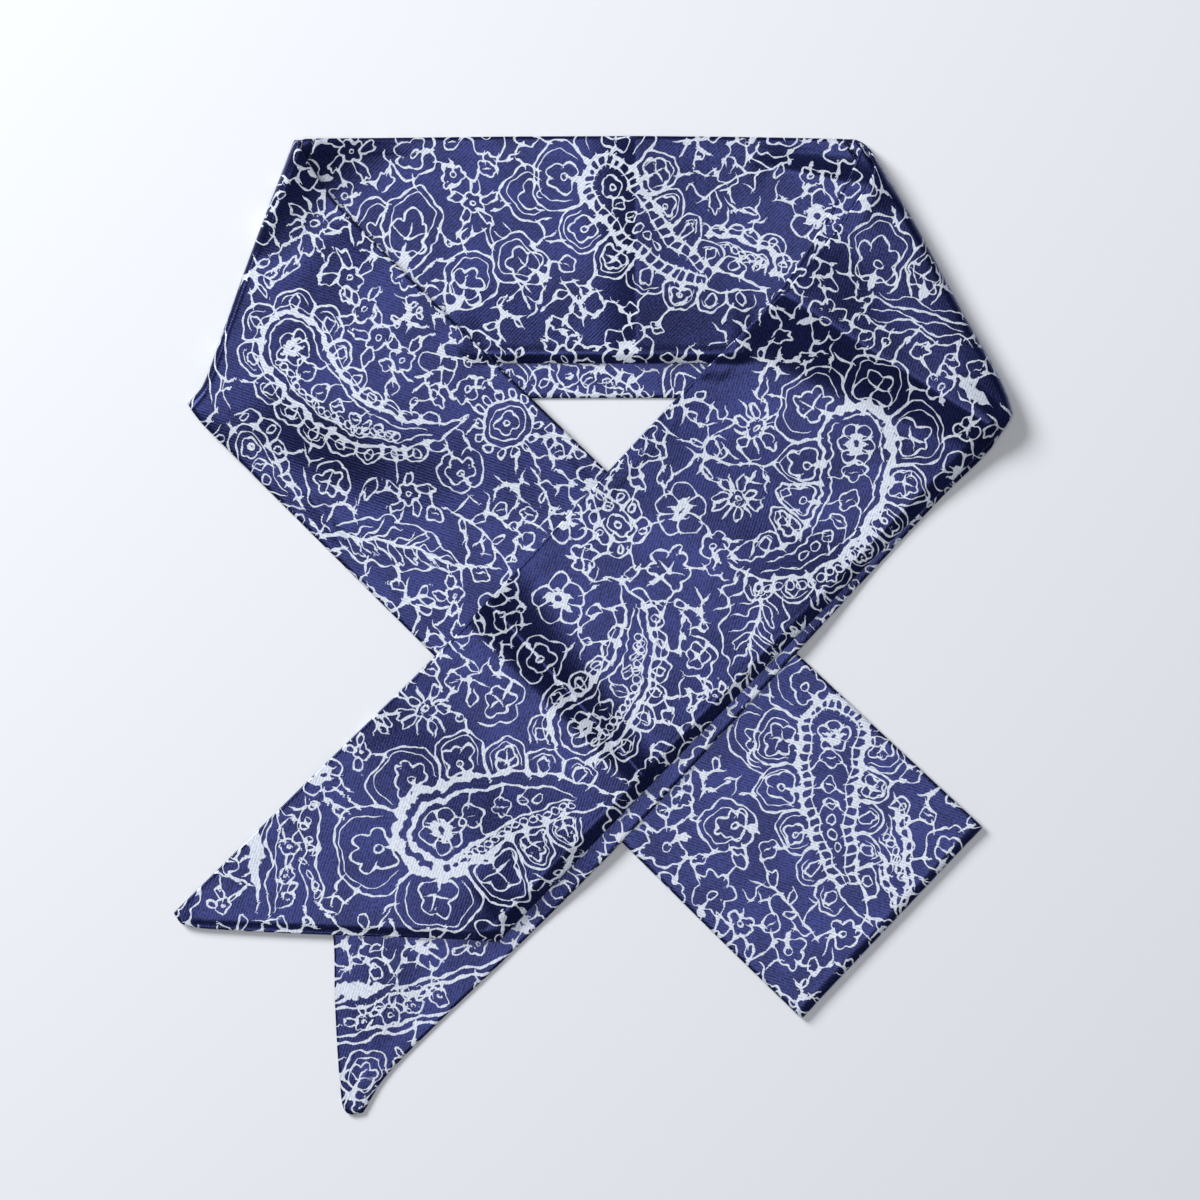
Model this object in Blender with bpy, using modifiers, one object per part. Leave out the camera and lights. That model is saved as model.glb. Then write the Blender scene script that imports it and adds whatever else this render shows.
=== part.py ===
"""Bandana scarf: one long, narrow, double-ply strip, folded in half and laid flat like a neck wrap.

The half-length fold is the blunt end of the left tail. From there two layers run together: up the
left tail, over the left corner fold, along the band, over the right corner fold and down the right
tail, which crosses over the left one and ends in two bias-cut points. Each solid is one stretch of
the strip between two folds, with the half-turns of the cloth at the folds it starts or ends in.

+X to the right, +Y from the tails' ends towards the band, +Z up, in metres. The origin is the centre
of the footprint, on the surface that the scarf lies on. The tables and helpers below work in
millimetres, and MM turns them into metres when a mesh is made.
"""

import math

import bpy
import numpy as np

MM = 0.001

# The cloth
WALL = 1.0                  # one layer of the strip: both plies and the air between them
GAP = 0.3                   # clearance between layers, and at the seams between stretches
LAYER = WALL + GAP
LAP = 3.0                   # how far a fold's lower side runs back under the strip to its seam

# How a layer comes down off what it lies on
LEDGE = 7.0                 # it stays level this far past the edge under it
DROP = 12.0                 # and comes down over this length
SLACK = 0.3                 # the right tail's upper layer lies this much looser than the others

# Half-turns of the cloth at the folds: how far they stand out from where the layers part
OUTER_BULGE = 2.6
INNER_BULGE = 1.0
HALF_FOLD_BULGE = 0.7

# Grid of each stretch: rows along it, and the shares of its width where the columns lie
TAIL_ROWS = 40
TAIL_TIP_ROWS = 9
BAND_ROWS = 26
COLUMNS = (0.0, 0.035, 0.13, 0.27, 0.42, 0.58, 0.73, 0.87, 0.965, 1.0)
TURN_STEPS = 6

# Both layers of the right tail have matching rows as far as this line across it, where x + y is:
RIGHT_WAIST = -82.0

# Lines seen from above, each as x, y points. The centre of the footprint lies at CENTRE.
CENTRE = (0.45, -0.32)

# Folds, each from its outer end to its inner end
LEFT_FOLD = ((-122.7, 66.8), (-118.2, 72.4), (-112.8, 86.6), (-101.7, 117.3), (-90.0, 147.3))
RIGHT_FOLD = ((127.8, 63.9), (124.9, 72.6), (112.0, 96.0), (96.9, 124.0), (82.8, 147.4))
HALF_FOLD = ((63.9, -119.7), (118.8, -61.6))

# The band: its upper edge, and the y of the lower edge of each layer; the top one is turned up
BAND_UPPER_EDGE = (LEFT_FOLD[-1], (-20.0, 148.2), (40.0, 148.1), RIGHT_FOLD[-1])
BAND_UNDER_EDGE = 68.4
BAND_TOP_EDGE = 79.4

# The left tail, both layers alike
LEFT_OUTER = (LEFT_FOLD[0], (-117.3, 60.0), (36.0, -92.6), HALF_FOLD[0])
LEFT_INNER = (
    LEFT_FOLD[-1], (-80.7, 132.1), (-74.3, 124.6), (-21.7, 72.0), (4.9, 46.3), (62.5, -9.0),
    HALF_FOLD[1],
)

# The right tail's upper layer, and its nearly level cut end
RIGHT_TOP_FOLD = (*RIGHT_FOLD[:4], (86.8, 140.0))
RIGHT_TOP_OUTER = (RIGHT_FOLD[0], (124.6, 58.8), (84.0, 18.4), (31.0, -35.2), (-28.3, -96.4))
RIGHT_TOP_INNER = (
    RIGHT_TOP_FOLD[-1], (83.0, 132.3), (64.2, 107.2), (33.9, 77.0), (4.9, 46.3), (-45.6, -7.6),
    (-85.0, -46.3), (-127.0, -87.6),
)
RIGHT_TOP_END = (
    RIGHT_TOP_OUTER[-1], (-40.0, -95.6), (-79.5, -94.3), (-112.0, -92.7), (-124.0, -91.2),
    RIGHT_TOP_INNER[-1],
)

# The right tail's lower layer, and its steep cut end with a blunt tip
RIGHT_UNDER_OUTER = (
    RIGHT_FOLD[0], (121.2, 53.4), (106.9, 39.2), (63.4, -7.2), (9.9, -65.2), (-25.4, -100.8),
    (-47.6, -122.1), (-63.0, -138.0), (-69.3, -148.4),
)
RIGHT_UNDER_INNER = (
    RIGHT_FOLD[-1], (78.2, 136.2), (63.0, 110.0), (49.0, 92.0), (33.3, 75.6), (-45.2, -8.6),
    (-84.6, -46.9),
)
RIGHT_UNDER_END = (
    RIGHT_UNDER_OUTER[-1], (-74.4, -148.4), (-76.2, -142.0), (-78.0, -115.0), (-78.5, -95.0),
    RIGHT_UNDER_INNER[-1],
)

# Swells of each layer: a crest from one point to another, its height and how far it runs out to
# its left and to its right, looking along it, and past its ends
SWELLS = {
    "band_top": (
        # from x, y     to x, y          height  left  right  ends
        (-8.0, 156.0, -8.0, 70.0,        1.2,    22.0, 26.0,  8.0),
        (-16.0, 79.4, 24.0, 79.4,        0.7,    10.0, 10.0,  12.0),
    ),
    "tail_left_under": (
        (-122.7, 67.6, -89.5, 147.3,     0.5,    20.0, 20.0,  12.0),
    ),
    "tail_left_top": (
        (-122.7, 67.6, -89.5, 147.3,     1.2,    26.0, 26.0,  12.0),
        (-115.0, 94.0, -76.0, 126.0,     0.9,    12.0, 14.0,  8.0),
        (64.9, -120.0, 119.0, -62.5,     0.6,    16.0, 16.0,  8.0),
    ),
    "tail_right_under": (
        (63.4, 101.7, 115.0, 56.0,       1.2,    34.0, 26.0,  14.0),
        (127.0, 64.3, 82.8, 147.5,       0.6,    22.0, 22.0,  12.0),
    ),
    "tail_right_top": (
        (63.4, 101.7, 115.0, 56.0,       1.5,    34.0, 24.0,  12.0),
        (127.0, 64.3, 82.8, 147.5,       1.2,    24.0, 24.0,  12.0),
        (-31.0, 4.4, 19.3, -50.3,        0.9,    12.0, 12.0,  8.0),
        (-38.0, -96.0, -20.0, -84.0,     1.6,    16.0, 14.0,  12.0),
    ),
}

COLOURS = {
    # node: base colour, roughness
    "band_top": ((0.060, 0.068, 0.240), 0.55),
    "band_under": ((0.055, 0.062, 0.225), 0.55),
    "tail_left_top": ((0.062, 0.070, 0.245), 0.55),
    "tail_left_under": ((0.055, 0.062, 0.225), 0.55),
    "tail_right_top": ((0.064, 0.073, 0.250), 0.55),
    "tail_right_under": ((0.055, 0.062, 0.225), 0.55),
}


def smooth(value):
    """A soft step from 0 to 1 as value goes from 0 to 1."""
    value = np.clip(value, 0.0, 1.0)
    return value * value * (3.0 - 2.0 * value)


def shelf(inside):
    """How far a layer is held up, from 1 to 0, by an edge that lies this far outwards of it."""
    return smooth((inside + LEDGE + DROP) / DROP)


def swell(layer, x, y):
    """Height that the layer's own swells add at x, y."""
    total = 0.0 * x
    for x0, y0, x1, y1, height, left, right, ends in SWELLS.get(layer, ()):
        length = math.hypot(x1 - x0, y1 - y0)
        ux, uy = (x1 - x0) / length, (y1 - y0) / length
        along = (x - x0) * ux + (y - y0) * uy
        aside = (y - y0) * ux - (x - x0) * uy
        past = np.maximum(np.maximum(-along, along - length), 0.0)
        across = np.where(aside > 0.0, aside / left, -aside / right)
        total = total + height * smooth(1.0 - across) * smooth(1.0 - past / ends)
    return total


def band_under_height(x, y):
    return WALL / 2.0 + 0.0 * x


def band_top_height(x, y):
    return band_under_height(x, y) + LAYER + swell("band_top", x, y)


def band_lift(x, y):
    """How far the band's two layers lift what crosses them."""
    return (2.0 * LAYER + swell("band_top", x, y)) * shelf(y - BAND_UNDER_EDGE)


def left_under_height(x, y):
    return WALL / 2.0 + band_lift(x, y) + swell("tail_left_under", x, y)


def left_top_height(x, y):
    return left_under_height(x, y) + LAYER + swell("tail_left_top", x, y)


def left_tail_lift(x, y):
    """How far the left tail's two layers lift the right tail where it crosses them."""
    (outer_x, outer_y), (inner_x, inner_y) = LEFT_OUTER[1], LEFT_INNER[4]
    from_outer = (x + y - outer_x - outer_y) / math.sqrt(2.0)
    from_inner = (inner_x + inner_y - x - y) / math.sqrt(2.0)
    thickness = 2.0 * LAYER + swell("tail_left_under", x, y) + swell("tail_left_top", x, y)
    return thickness * shelf(np.minimum(from_outer, from_inner))


def right_under_height(x, y):
    lift = band_lift(x, y) + left_tail_lift(x, y)
    return WALL / 2.0 + lift + swell("tail_right_under", x, y)


def right_top_height(x, y):
    return right_under_height(x, y) + LAYER + SLACK + swell("tail_right_top", x, y)


class Edge:
    """A smooth line through a few points, read by the distance along it."""

    def __init__(self, points):
        knots = [np.array(point, dtype=float) for point in points]
        knots = [2.0 * knots[0] - knots[1]] + knots + [2.0 * knots[-1] - knots[-2]]
        line = [knots[1]]
        for before, start, end, after in zip(knots, knots[1:], knots[2:], knots[3:]):
            span = np.linalg.norm(end - start)
            leave = (end - before) / np.linalg.norm(end - before) * span
            arrive = (after - start) / np.linalg.norm(after - start) * span
            for step in range(1, 17):
                u = step / 16.0
                line.append(
                    (2.0 * u**3 - 3.0 * u**2 + 1.0) * start + (u**3 - 2.0 * u**2 + u) * leave
                    + (3.0 * u**2 - 2.0 * u**3) * end + (u**3 - u**2) * arrive
                )
        self.line = np.array(line)
        steps = np.linalg.norm(np.diff(self.line, axis=0), axis=1)
        self.reach = np.concatenate(([0.0], np.cumsum(steps)))
        self.length = self.reach[-1]

    def at(self, distance):
        x = np.interp(distance, self.reach, self.line[:, 0])
        y = np.interp(distance, self.reach, self.line[:, 1])
        return np.array((x, y))

    def distance_where(self, total):
        """How far along the line x + y falls to this total."""
        return np.interp(-total, -self.line.sum(axis=1), self.reach)


def fold_above(fold, level):
    """The part of a fold line above this y, starting at a point on it."""
    rest = [point for point in fold if point[1] > level]
    below = fold[len(fold) - len(rest) - 1]
    part = (level - below[1]) / (rest[0][1] - below[1])
    return ((below[0] + part * (rest[0][0] - below[0]), level), *rest)


def bow(line):
    """How far a line across a stretch lies from its own chord, at each column."""
    shares = np.array(COLUMNS)[:, None]
    curve = np.array([line.at(share * line.length) for share in COLUMNS])
    return curve - (1.0 - shares) * line.at(0.0) - shares * line.at(line.length)


class Strip:
    """The plan of a stretch, between an outer and an inner edge, and a start and an end line."""

    def __init__(self, outer, inner, start, end):
        self.outer = Edge(outer)
        self.inner = Edge(inner)
        self.start_bow = bow(Edge(start))
        self.end_bow = bow(Edge(end))

    def row(self, outer_distance, inner_distance, share):
        """Points across the stretch, at these distances along its edges, as a columns x 2 array."""
        shares = np.array(COLUMNS)[:, None]
        chord = (1.0 - shares) * self.outer.at(outer_distance) + shares * self.inner.at(inner_distance)
        return chord + (1.0 - share) * self.start_bow + share * self.end_bow

    def from_start(self, distance):
        return self.row(distance, distance, 0.0)

    def from_end(self, distance):
        return self.row(self.outer.length - distance, self.inner.length - distance, 1.0)


def turn_rows(above, below, upper, lower, inset, bulge):
    """Rows of a half-turn, from its seam underneath, round the fold and up to the upper layer.

    above and below give the plan at a distance from the fold, upper and lower the heights there.
    """
    rows = []
    seam = below(inset + bulge + LAP)
    rows.append(np.column_stack((seam, lower(seam[:, 0], seam[:, 1]))))
    foot, head = below(inset + bulge), above(inset + bulge)
    low = lower(foot[:, 0], foot[:, 1])
    high = upper(head[:, 0], head[:, 1])
    for step in range(TURN_STEPS):
        angle = math.pi * (step / TURN_STEPS - 0.5)
        distance = inset + bulge * (1.0 - math.cos(angle))
        blend = (1.0 + math.sin(angle)) / 2.0
        plan = blend * above(distance) + (1.0 - blend) * below(distance)
        height = (high + low) / 2.0 + (high - low) / 2.0 * math.sin(angle)
        rows.append(np.column_stack((plan, height)))
    return rows


def run_rows(strip, height, first, last, count):
    """Rows of the flat run of a stretch, from first past its start to last before its end."""
    ends = (strip.outer.length - last, strip.inner.length - last)
    return rows_between(strip, height, (first, first), ends, (0.0, 1.0), count)


def rows_between(strip, height, starts, ends, shares, count):
    """Rows between two distances along each edge, and between two shares of the end's shape."""
    rows = []
    for index in range(count + 1):
        part = index / count
        outer = starts[0] + part * (ends[0] - starts[0])
        inner = starts[1] + part * (ends[1] - starts[1])
        plan = strip.row(outer, inner, shares[0] + part * (shares[1] - shares[0]))
        rows.append(np.column_stack((plan, height(plan[:, 0], plan[:, 1]))))
    return rows


def right_tail_rows(strip, height, first):
    """Rows of a layer of the right tail: evenly to the waist, then evenly to its own cut end."""
    waist = (strip.outer.distance_where(RIGHT_WAIST), strip.inner.distance_where(RIGHT_WAIST))
    ends = (strip.outer.length, strip.inner.length)
    rows = rows_between(strip, height, (first, first), waist, (0.0, 0.0), TAIL_ROWS - TAIL_TIP_ROWS)
    return rows + rows_between(strip, height, waist, ends, (0.0, 1.0), TAIL_TIP_ROWS)[1:]


def make_material(name):
    colour, roughness = COLOURS[name]
    material = bpy.data.materials.new(name)
    material.use_nodes = True
    shader = material.node_tree.nodes["Principled BSDF"]
    shader.inputs["Base Color"].default_value = (*colour, 1.0)
    shader.inputs["Roughness"].default_value = roughness
    shader.inputs["Metallic"].default_value = 0.0
    return material


def make_stretch(name, rows, collection):
    """The rows as an open sheet, given the thickness of one layer by Solidify."""
    columns = len(COLUMNS)
    points = (np.concatenate(rows) - (*CENTRE, 0.0)) * MM
    faces = []
    for row in range(len(rows) - 1):
        for column in range(columns - 1):
            corner = row * columns + column
            faces.append((corner, corner + 1, corner + columns + 1, corner + columns))
    mesh = bpy.data.meshes.new(name)
    mesh.from_pydata(points.tolist(), [], faces)
    mesh.materials.append(make_material(name))
    mesh.shade_smooth()
    sheet = bpy.data.objects.new(name, mesh)
    collection.objects.link(sheet)
    wall = sheet.modifiers.new("wall", "SOLIDIFY")
    wall.thickness = WALL * MM
    wall.offset = 0.0
    wall.use_even_offset = True
    return sheet


def main():
    for old in list(bpy.data.objects):
        bpy.data.objects.remove(old)
    collection = bpy.data.collections.new("bandana_scarf")
    bpy.context.scene.collection.children.link(collection)

    outer_inset = WALL / 2.0
    inner_inset = outer_inset + OUTER_BULGE - INNER_BULGE + GAP
    half_inset = WALL / 2.0
    band_under_end = outer_inset + OUTER_BULGE + LAP + GAP
    band_top_end = inner_inset + INNER_BULGE + LAP + GAP
    left_under_end = half_inset + HALF_FOLD_BULGE + LAP + GAP

    band_under = Strip(
        (LEFT_FOLD[0], (-60.0, BAND_UNDER_EDGE), (60.0, BAND_UNDER_EDGE), RIGHT_FOLD[0]),
        BAND_UPPER_EDGE, LEFT_FOLD, RIGHT_FOLD,
    )
    left_fold_above = fold_above(LEFT_FOLD, BAND_TOP_EDGE)
    right_fold_above = fold_above(RIGHT_FOLD, BAND_TOP_EDGE)
    band_top = Strip(
        (left_fold_above[0], right_fold_above[0]), BAND_UPPER_EDGE, left_fold_above, right_fold_above,
    )
    left_tail = Strip(LEFT_OUTER, LEFT_INNER, LEFT_FOLD, HALF_FOLD)
    right_top = Strip(RIGHT_TOP_OUTER, RIGHT_TOP_INNER, RIGHT_TOP_FOLD, RIGHT_TOP_END)
    right_under = Strip(RIGHT_UNDER_OUTER, RIGHT_UNDER_INNER, RIGHT_FOLD, RIGHT_UNDER_END)

    rows = run_rows(band_under, band_under_height, band_under_end, band_under_end, BAND_ROWS)
    make_stretch("band_under", rows, collection)

    rows = run_rows(band_top, band_top_height, band_top_end, band_top_end, BAND_ROWS)
    make_stretch("band_top", rows, collection)

    rows = turn_rows(left_tail.from_start, band_under.from_start, left_under_height, band_top_height,
                     inner_inset, INNER_BULGE)
    rows += run_rows(left_tail, left_under_height, inner_inset + INNER_BULGE, left_under_end, TAIL_ROWS)
    make_stretch("tail_left_under", rows, collection)

    rows = turn_rows(left_tail.from_start, band_under.from_start, left_top_height, band_under_height,
                     outer_inset, OUTER_BULGE)
    rows += run_rows(left_tail, left_top_height, outer_inset + OUTER_BULGE, half_inset + HALF_FOLD_BULGE,
                     TAIL_ROWS)
    rows += turn_rows(left_tail.from_end, left_tail.from_end, left_top_height, left_under_height,
                      half_inset, HALF_FOLD_BULGE)[::-1]
    make_stretch("tail_left_top", rows, collection)

    rows = turn_rows(right_under.from_start, band_under.from_end, right_under_height, band_top_height,
                     inner_inset, INNER_BULGE)
    rows += right_tail_rows(right_under, right_under_height, inner_inset + INNER_BULGE)
    make_stretch("tail_right_under", rows, collection)

    rows = turn_rows(right_top.from_start, band_under.from_end, right_top_height, band_under_height,
                     outer_inset, OUTER_BULGE)
    rows += right_tail_rows(right_top, right_top_height, outer_inset + OUTER_BULGE)
    make_stretch("tail_right_top", rows, collection)


main()
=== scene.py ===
"""Looks of the bandana scarf: printed satin tubes on the six stretches of the CAD strip.

Each stretch is one closed skin, both plies of the strip with a small air space between them, built
on the same plan and heights as its solid. The print is drawn by code: strokes of white on the blue
ground, laid out in the plan of each stretch. Tables and helpers work in millimetres, with +X to the
right, +Y towards the band and +Z up, as the CAD source does.
"""

import math

import bpy
import numpy as np
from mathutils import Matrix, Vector
from mathutils.kdtree import KDTree


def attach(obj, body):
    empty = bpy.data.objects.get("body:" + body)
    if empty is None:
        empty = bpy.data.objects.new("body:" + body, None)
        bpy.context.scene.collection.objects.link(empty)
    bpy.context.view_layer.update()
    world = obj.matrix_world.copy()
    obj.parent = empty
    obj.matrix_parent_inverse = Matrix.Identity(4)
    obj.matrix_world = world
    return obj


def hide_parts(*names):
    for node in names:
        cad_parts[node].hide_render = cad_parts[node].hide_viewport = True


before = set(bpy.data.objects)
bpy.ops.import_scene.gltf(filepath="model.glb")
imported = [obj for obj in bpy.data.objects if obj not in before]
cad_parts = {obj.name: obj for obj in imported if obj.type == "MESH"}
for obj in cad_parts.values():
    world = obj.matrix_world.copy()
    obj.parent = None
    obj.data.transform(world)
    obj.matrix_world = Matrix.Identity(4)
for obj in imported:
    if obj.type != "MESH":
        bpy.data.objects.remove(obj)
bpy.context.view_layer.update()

MM = 0.001

# The cloth
WALL = 0.8                  # both plies and the air between them
GAP = 0.2                   # clearance between layers, and at the seams between stretches
LAYER = WALL + GAP
LAP = 3.0                   # how far a fold's lower side runs back under the strip to its seam
PLY = 0.2                   # one ply of satin
STRIP_WIDTH = 76.0          # the finished strip
SEAM_WIDTH = 4.7            # seam allowance inside each edge
SEAM_PUFF = 0.1             # and how much it lifts each side of the strip
SEAM_STEP = 1.6             # over this distance
EDGE_ANGLES = (15, 50)      # where a ply has points on its rounded edges, in degrees from sideways
END_THICKNESS = 0.62        # of the rounded ends, as a share of the whole
END_INSET = 0.5             # how far the last whole row lies inside the end, in half-thicknesses
END_REACH = 0.45            # and how far the thinner row lies outside that one
CELL = 0.85                 # the finer faces of a stretch, where one of its plies is hidden
BOTH_CELL = 1.11            # and where both show

# How a layer comes down off what it lies on
LEDGE = 1.5                 # it stays level this far past the edge under it
DROP = 40.0                 # and comes down over this length
SLACK = 0.3                 # the right tail's upper layer lies this much looser than the others

# Half-turns of the cloth at the folds: how far they stand out from where the layers part
OUTER_BULGE = 2.6
INNER_BULGE = 1.0
HALF_FOLD_BULGE = 0.7
OUTER_STEPS = 14            # rows of faces round the widest ones
OTHER_STEPS = 8             # and round the others

# Lines seen from above, each as x, y points. The centre of the footprint lies at CENTRE.
CENTRE = (0.45, -0.32)

# Folds, each from its outer end to its inner end
LEFT_FOLD = ((-122.7, 66.8), (-118.2, 72.4), (-112.8, 86.6), (-101.7, 117.3), (-90.0, 147.3))
RIGHT_FOLD = ((127.8, 63.9), (124.9, 72.6), (112.0, 96.0), (96.9, 124.0), (82.8, 147.4))
HALF_FOLD = ((63.9, -119.7), (118.8, -61.6))

# The band: its upper edge, and the y of the lower edge of each layer; the top one is turned up
BAND_UPPER_EDGE = (LEFT_FOLD[-1], (-20.0, 148.2), (40.0, 148.1), RIGHT_FOLD[-1])
BAND_UNDER_EDGE = 68.4
BAND_TOP_EDGE = 79.4

# The left tail, both layers alike
LEFT_OUTER = (LEFT_FOLD[0], (-117.3, 60.0), (36.0, -92.6), HALF_FOLD[0])
LEFT_INNER = (
    LEFT_FOLD[-1], (-80.7, 132.1), (-74.3, 124.6), (-21.7, 72.0), (4.9, 46.3), (62.5, -9.0),
    HALF_FOLD[1],
)

# The right tail's upper layer, and its nearly level cut end
RIGHT_TOP_FOLD = (*RIGHT_FOLD[:4], (86.8, 140.0))
RIGHT_TOP_OUTER = (RIGHT_FOLD[0], (124.6, 58.8), (84.0, 18.4), (31.0, -35.2), (-28.3, -96.4))
RIGHT_TOP_INNER = (
    RIGHT_TOP_FOLD[-1], (83.0, 132.3), (64.2, 107.2), (33.9, 77.0), (4.9, 46.3), (-45.6, -7.6),
    (-85.0, -46.3), (-127.0, -87.6),
)
RIGHT_TOP_END = (
    RIGHT_TOP_OUTER[-1], (-40.0, -95.6), (-79.5, -94.3), (-112.0, -92.7), (-124.0, -91.2),
    RIGHT_TOP_INNER[-1],
)

# The right tail's lower layer, and its steep cut end with a blunt tip
RIGHT_UNDER_OUTER = (
    RIGHT_FOLD[0], (121.2, 53.4), (106.9, 39.2), (63.4, -7.2), (9.9, -65.2), (-25.4, -100.8),
    (-47.6, -122.1), (-63.0, -138.0), (-69.3, -148.4),
)
RIGHT_UNDER_INNER = (
    RIGHT_FOLD[-1], (78.2, 136.2), (63.0, 110.0), (49.0, 92.0), (33.3, 75.6), (-45.2, -8.6),
    (-84.6, -46.9),
)
RIGHT_UNDER_END = (
    RIGHT_UNDER_OUTER[-1], (-74.4, -148.4), (-76.2, -142.0), (-78.0, -115.0), (-78.5, -95.0),
    RIGHT_UNDER_INNER[-1],
)

# Swells of each layer: a crest from one point to another, its height and how far it runs out to
# its left and to its right, looking along it, and past its ends
SWELLS = {
    "tail_left_under": (
        # from x, y     to x, y          height  left  right  ends
        (-122.7, 67.6, -89.5, 147.3,     0.5,    20.0, 20.0,  12.0),
    ),
    "tail_left_top": (
        (-122.7, 67.6, -89.5, 147.3,     0.8,    30.0, 30.0,  12.0),
        (-60.0, 118.0, -84.0, 72.0,      2.2,    60.0, 38.0,  26.0),
        (64.9, -120.0, 119.0, -62.5,     0.6,    16.0, 16.0,  8.0),
    ),
    "tail_right_under": (
        (63.4, 101.7, 115.0, 56.0,       1.2,    34.0, 26.0,  14.0),
        (127.0, 64.3, 82.8, 147.5,       0.6,    22.0, 22.0,  12.0),
    ),
    "tail_right_top": (
        (127.0, 64.3, 82.8, 147.5,       0.9,    30.0, 30.0,  12.0),
        (-38.0, -96.0, -20.0, -84.0,     0.7,    16.0, 14.0,  12.0),
    ),
}

# Sharp-crested creases of the same layers, which the solids leave out. size is how large a crease
# is at its second point, as a share of its size at its first point, and foot how much of its sides
# curves out.
CREASES = {
    "band_top": (
        # from x, y     to x, y          height  left  right  size  foot  ends
        (13.5, 153.0, 13.5, 78.0,        2.2,    60.0, 18.0,  0.8,  1.0,  5.0),
        (-68.0, 162.0, -106.0, 130.0,    5.0,    28.0, 40.0,  1.0,  0.7,  10.0),
        (56.0, 139.0, 84.0, 133.0,       1.2,    9.0,  24.0,  1.0,  0.6,  10.0),
        (-32.0, 82.0, 42.0, 82.0,        1.1,    26.0, 3.0,   1.0,  0.3,  10.0),
    ),
    "tail_left_top": (
        (-84.0, 37.0, -77.0, 27.0,       0.4,    5.0,  5.0,   1.0,  1.0,  6.0),
        (116.6, -60.2, 61.8, -118.2,     0.4,    2.4,  26.0,  1.0,  0.4,  4.0),
    ),
    "tail_right_under": (
        (-60.0, -104.0, -73.0, -146.0,   0.7,    14.0, 16.0,  1.0,  0.6,  10.0),
    ),
    "tail_right_top": (
        (54.0, 103.0, 120.0, 61.0,       5.0,    90.0, 27.0,  0.35, 0.4,  12.0),
        (-35.0, 10.6, 19.0, -50.0,       3.0,    19.0, 11.0,  0.45, 0.9,  5.0),
        (121.0, 61.4, -25.0, -86.5,      1.1,    4.5,  22.0,  1.0,  0.4,  6.0),
        (-28.0, -93.3, -120.0, -89.6,    0.6,    3.4,  22.0,  0.5,  0.3,  5.0),
        (-36.0, -96.0, -25.0, -86.0,     0.6,    6.0,  8.0,   1.0,  0.6,  8.0),
    ),
}


# ---------------------------------------------------------------- heights of the layers

def smooth(value):
    """A soft step from 0 to 1 as value goes from 0 to 1."""
    value = np.clip(value, 0.0, 1.0)
    return value * value * (3.0 - 2.0 * value)


def shelf(inside):
    """How far a layer is held up, from 1 to 0, by an edge that lies this far outwards of it."""
    return smooth((inside + LEDGE + DROP) / DROP)


def sharp(value, foot):
    """A straight rise to 1, of which this share curves out at its foot."""
    value = np.clip(value, 0.0, 1.0)
    return np.where(value < foot, value * value / 2.0 / foot, value - foot / 2.0) / (1.0 - foot / 2.0)


def swell(layer, x, y):
    """Height that the layer's own swells and creases add at x, y."""
    total = 0.0 * x
    for x0, y0, x1, y1, height, left, right, ends in SWELLS.get(layer, ()):
        _, aside, past = beside(x, y, x0, y0, x1, y1)
        across = np.where(aside > 0.0, aside / left, -aside / right)
        total = total + height * smooth(1.0 - across) * smooth(1.0 - past / ends)
    for x0, y0, x1, y1, height, left, right, size, foot, ends in CREASES.get(layer, ()):
        share, aside, past = beside(x, y, x0, y0, x1, y1)
        grown = 1.0 + (size - 1.0) * share
        across = np.where(aside > 0.0, aside / left, -aside / right) / grown
        total = total + height * grown * sharp(1.0 - across, foot) * smooth(1.0 - past / ends)
    return total


def beside(x, y, x0, y0, x1, y1):
    """How points lie to a line: the share along it, how far to its left, and how far past it."""
    length = math.hypot(x1 - x0, y1 - y0)
    ux, uy = (x1 - x0) / length, (y1 - y0) / length
    along = (x - x0) * ux + (y - y0) * uy
    aside = (y - y0) * ux - (x - x0) * uy
    past = np.maximum(np.maximum(-along, along - length), 0.0)
    return np.clip(along / length, 0.0, 1.0), aside, past


# Each function named height gives the height of the middle of a layer at x, y.

def band_under_height(x, y):
    return WALL / 2.0 + 0.0 * x


def band_top_height(x, y):
    return band_under_height(x, y) + LAYER + swell("band_top", x, y)


def band_lift(x, y):
    """How far the band's two layers lift what crosses them."""
    return (2.0 * LAYER + swell("band_top", x, y)) * shelf(y - BAND_UNDER_EDGE)


def left_under_height(x, y):
    return WALL / 2.0 + band_lift(x, y) + swell("tail_left_under", x, y)


def left_top_height(x, y):
    return left_under_height(x, y) + LAYER + swell("tail_left_top", x, y)


def left_tail_lift(x, y):
    """How far the left tail's two layers lift the right tail where it crosses them."""
    # Both edges of the left tail run at 45 degrees here
    (outer_x, outer_y), (inner_x, inner_y) = LEFT_OUTER[1], LEFT_INNER[4]
    from_outer = (x + y - outer_x - outer_y) / math.sqrt(2.0)
    from_inner = (inner_x + inner_y - x - y) / math.sqrt(2.0)
    thickness = 2.0 * LAYER + swell("tail_left_under", x, y) + swell("tail_left_top", x, y)
    return thickness * shelf(np.minimum(from_outer, from_inner))


def right_under_height(x, y):
    lift = band_lift(x, y) + left_tail_lift(x, y)
    return WALL / 2.0 + lift + swell("tail_right_under", x, y)


def right_top_height(x, y):
    return right_under_height(x, y) + LAYER + SLACK + swell("tail_right_top", x, y)


# ---------------------------------------------------------------- plans of the stretches

def unit(vectors):
    """The vectors at length 1."""
    return vectors / np.linalg.norm(vectors, axis=-1, keepdims=True)


def reach_of(line):
    """The distance along a line at each of its points."""
    steps = np.linalg.norm(np.diff(line, axis=0), axis=1)
    return np.concatenate(([0.0], np.cumsum(steps)))


def read(line, reach, at):
    """The points of a line where its reach is at."""
    return np.stack([np.interp(at, reach, part) for part in line.T], axis=-1)


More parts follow.
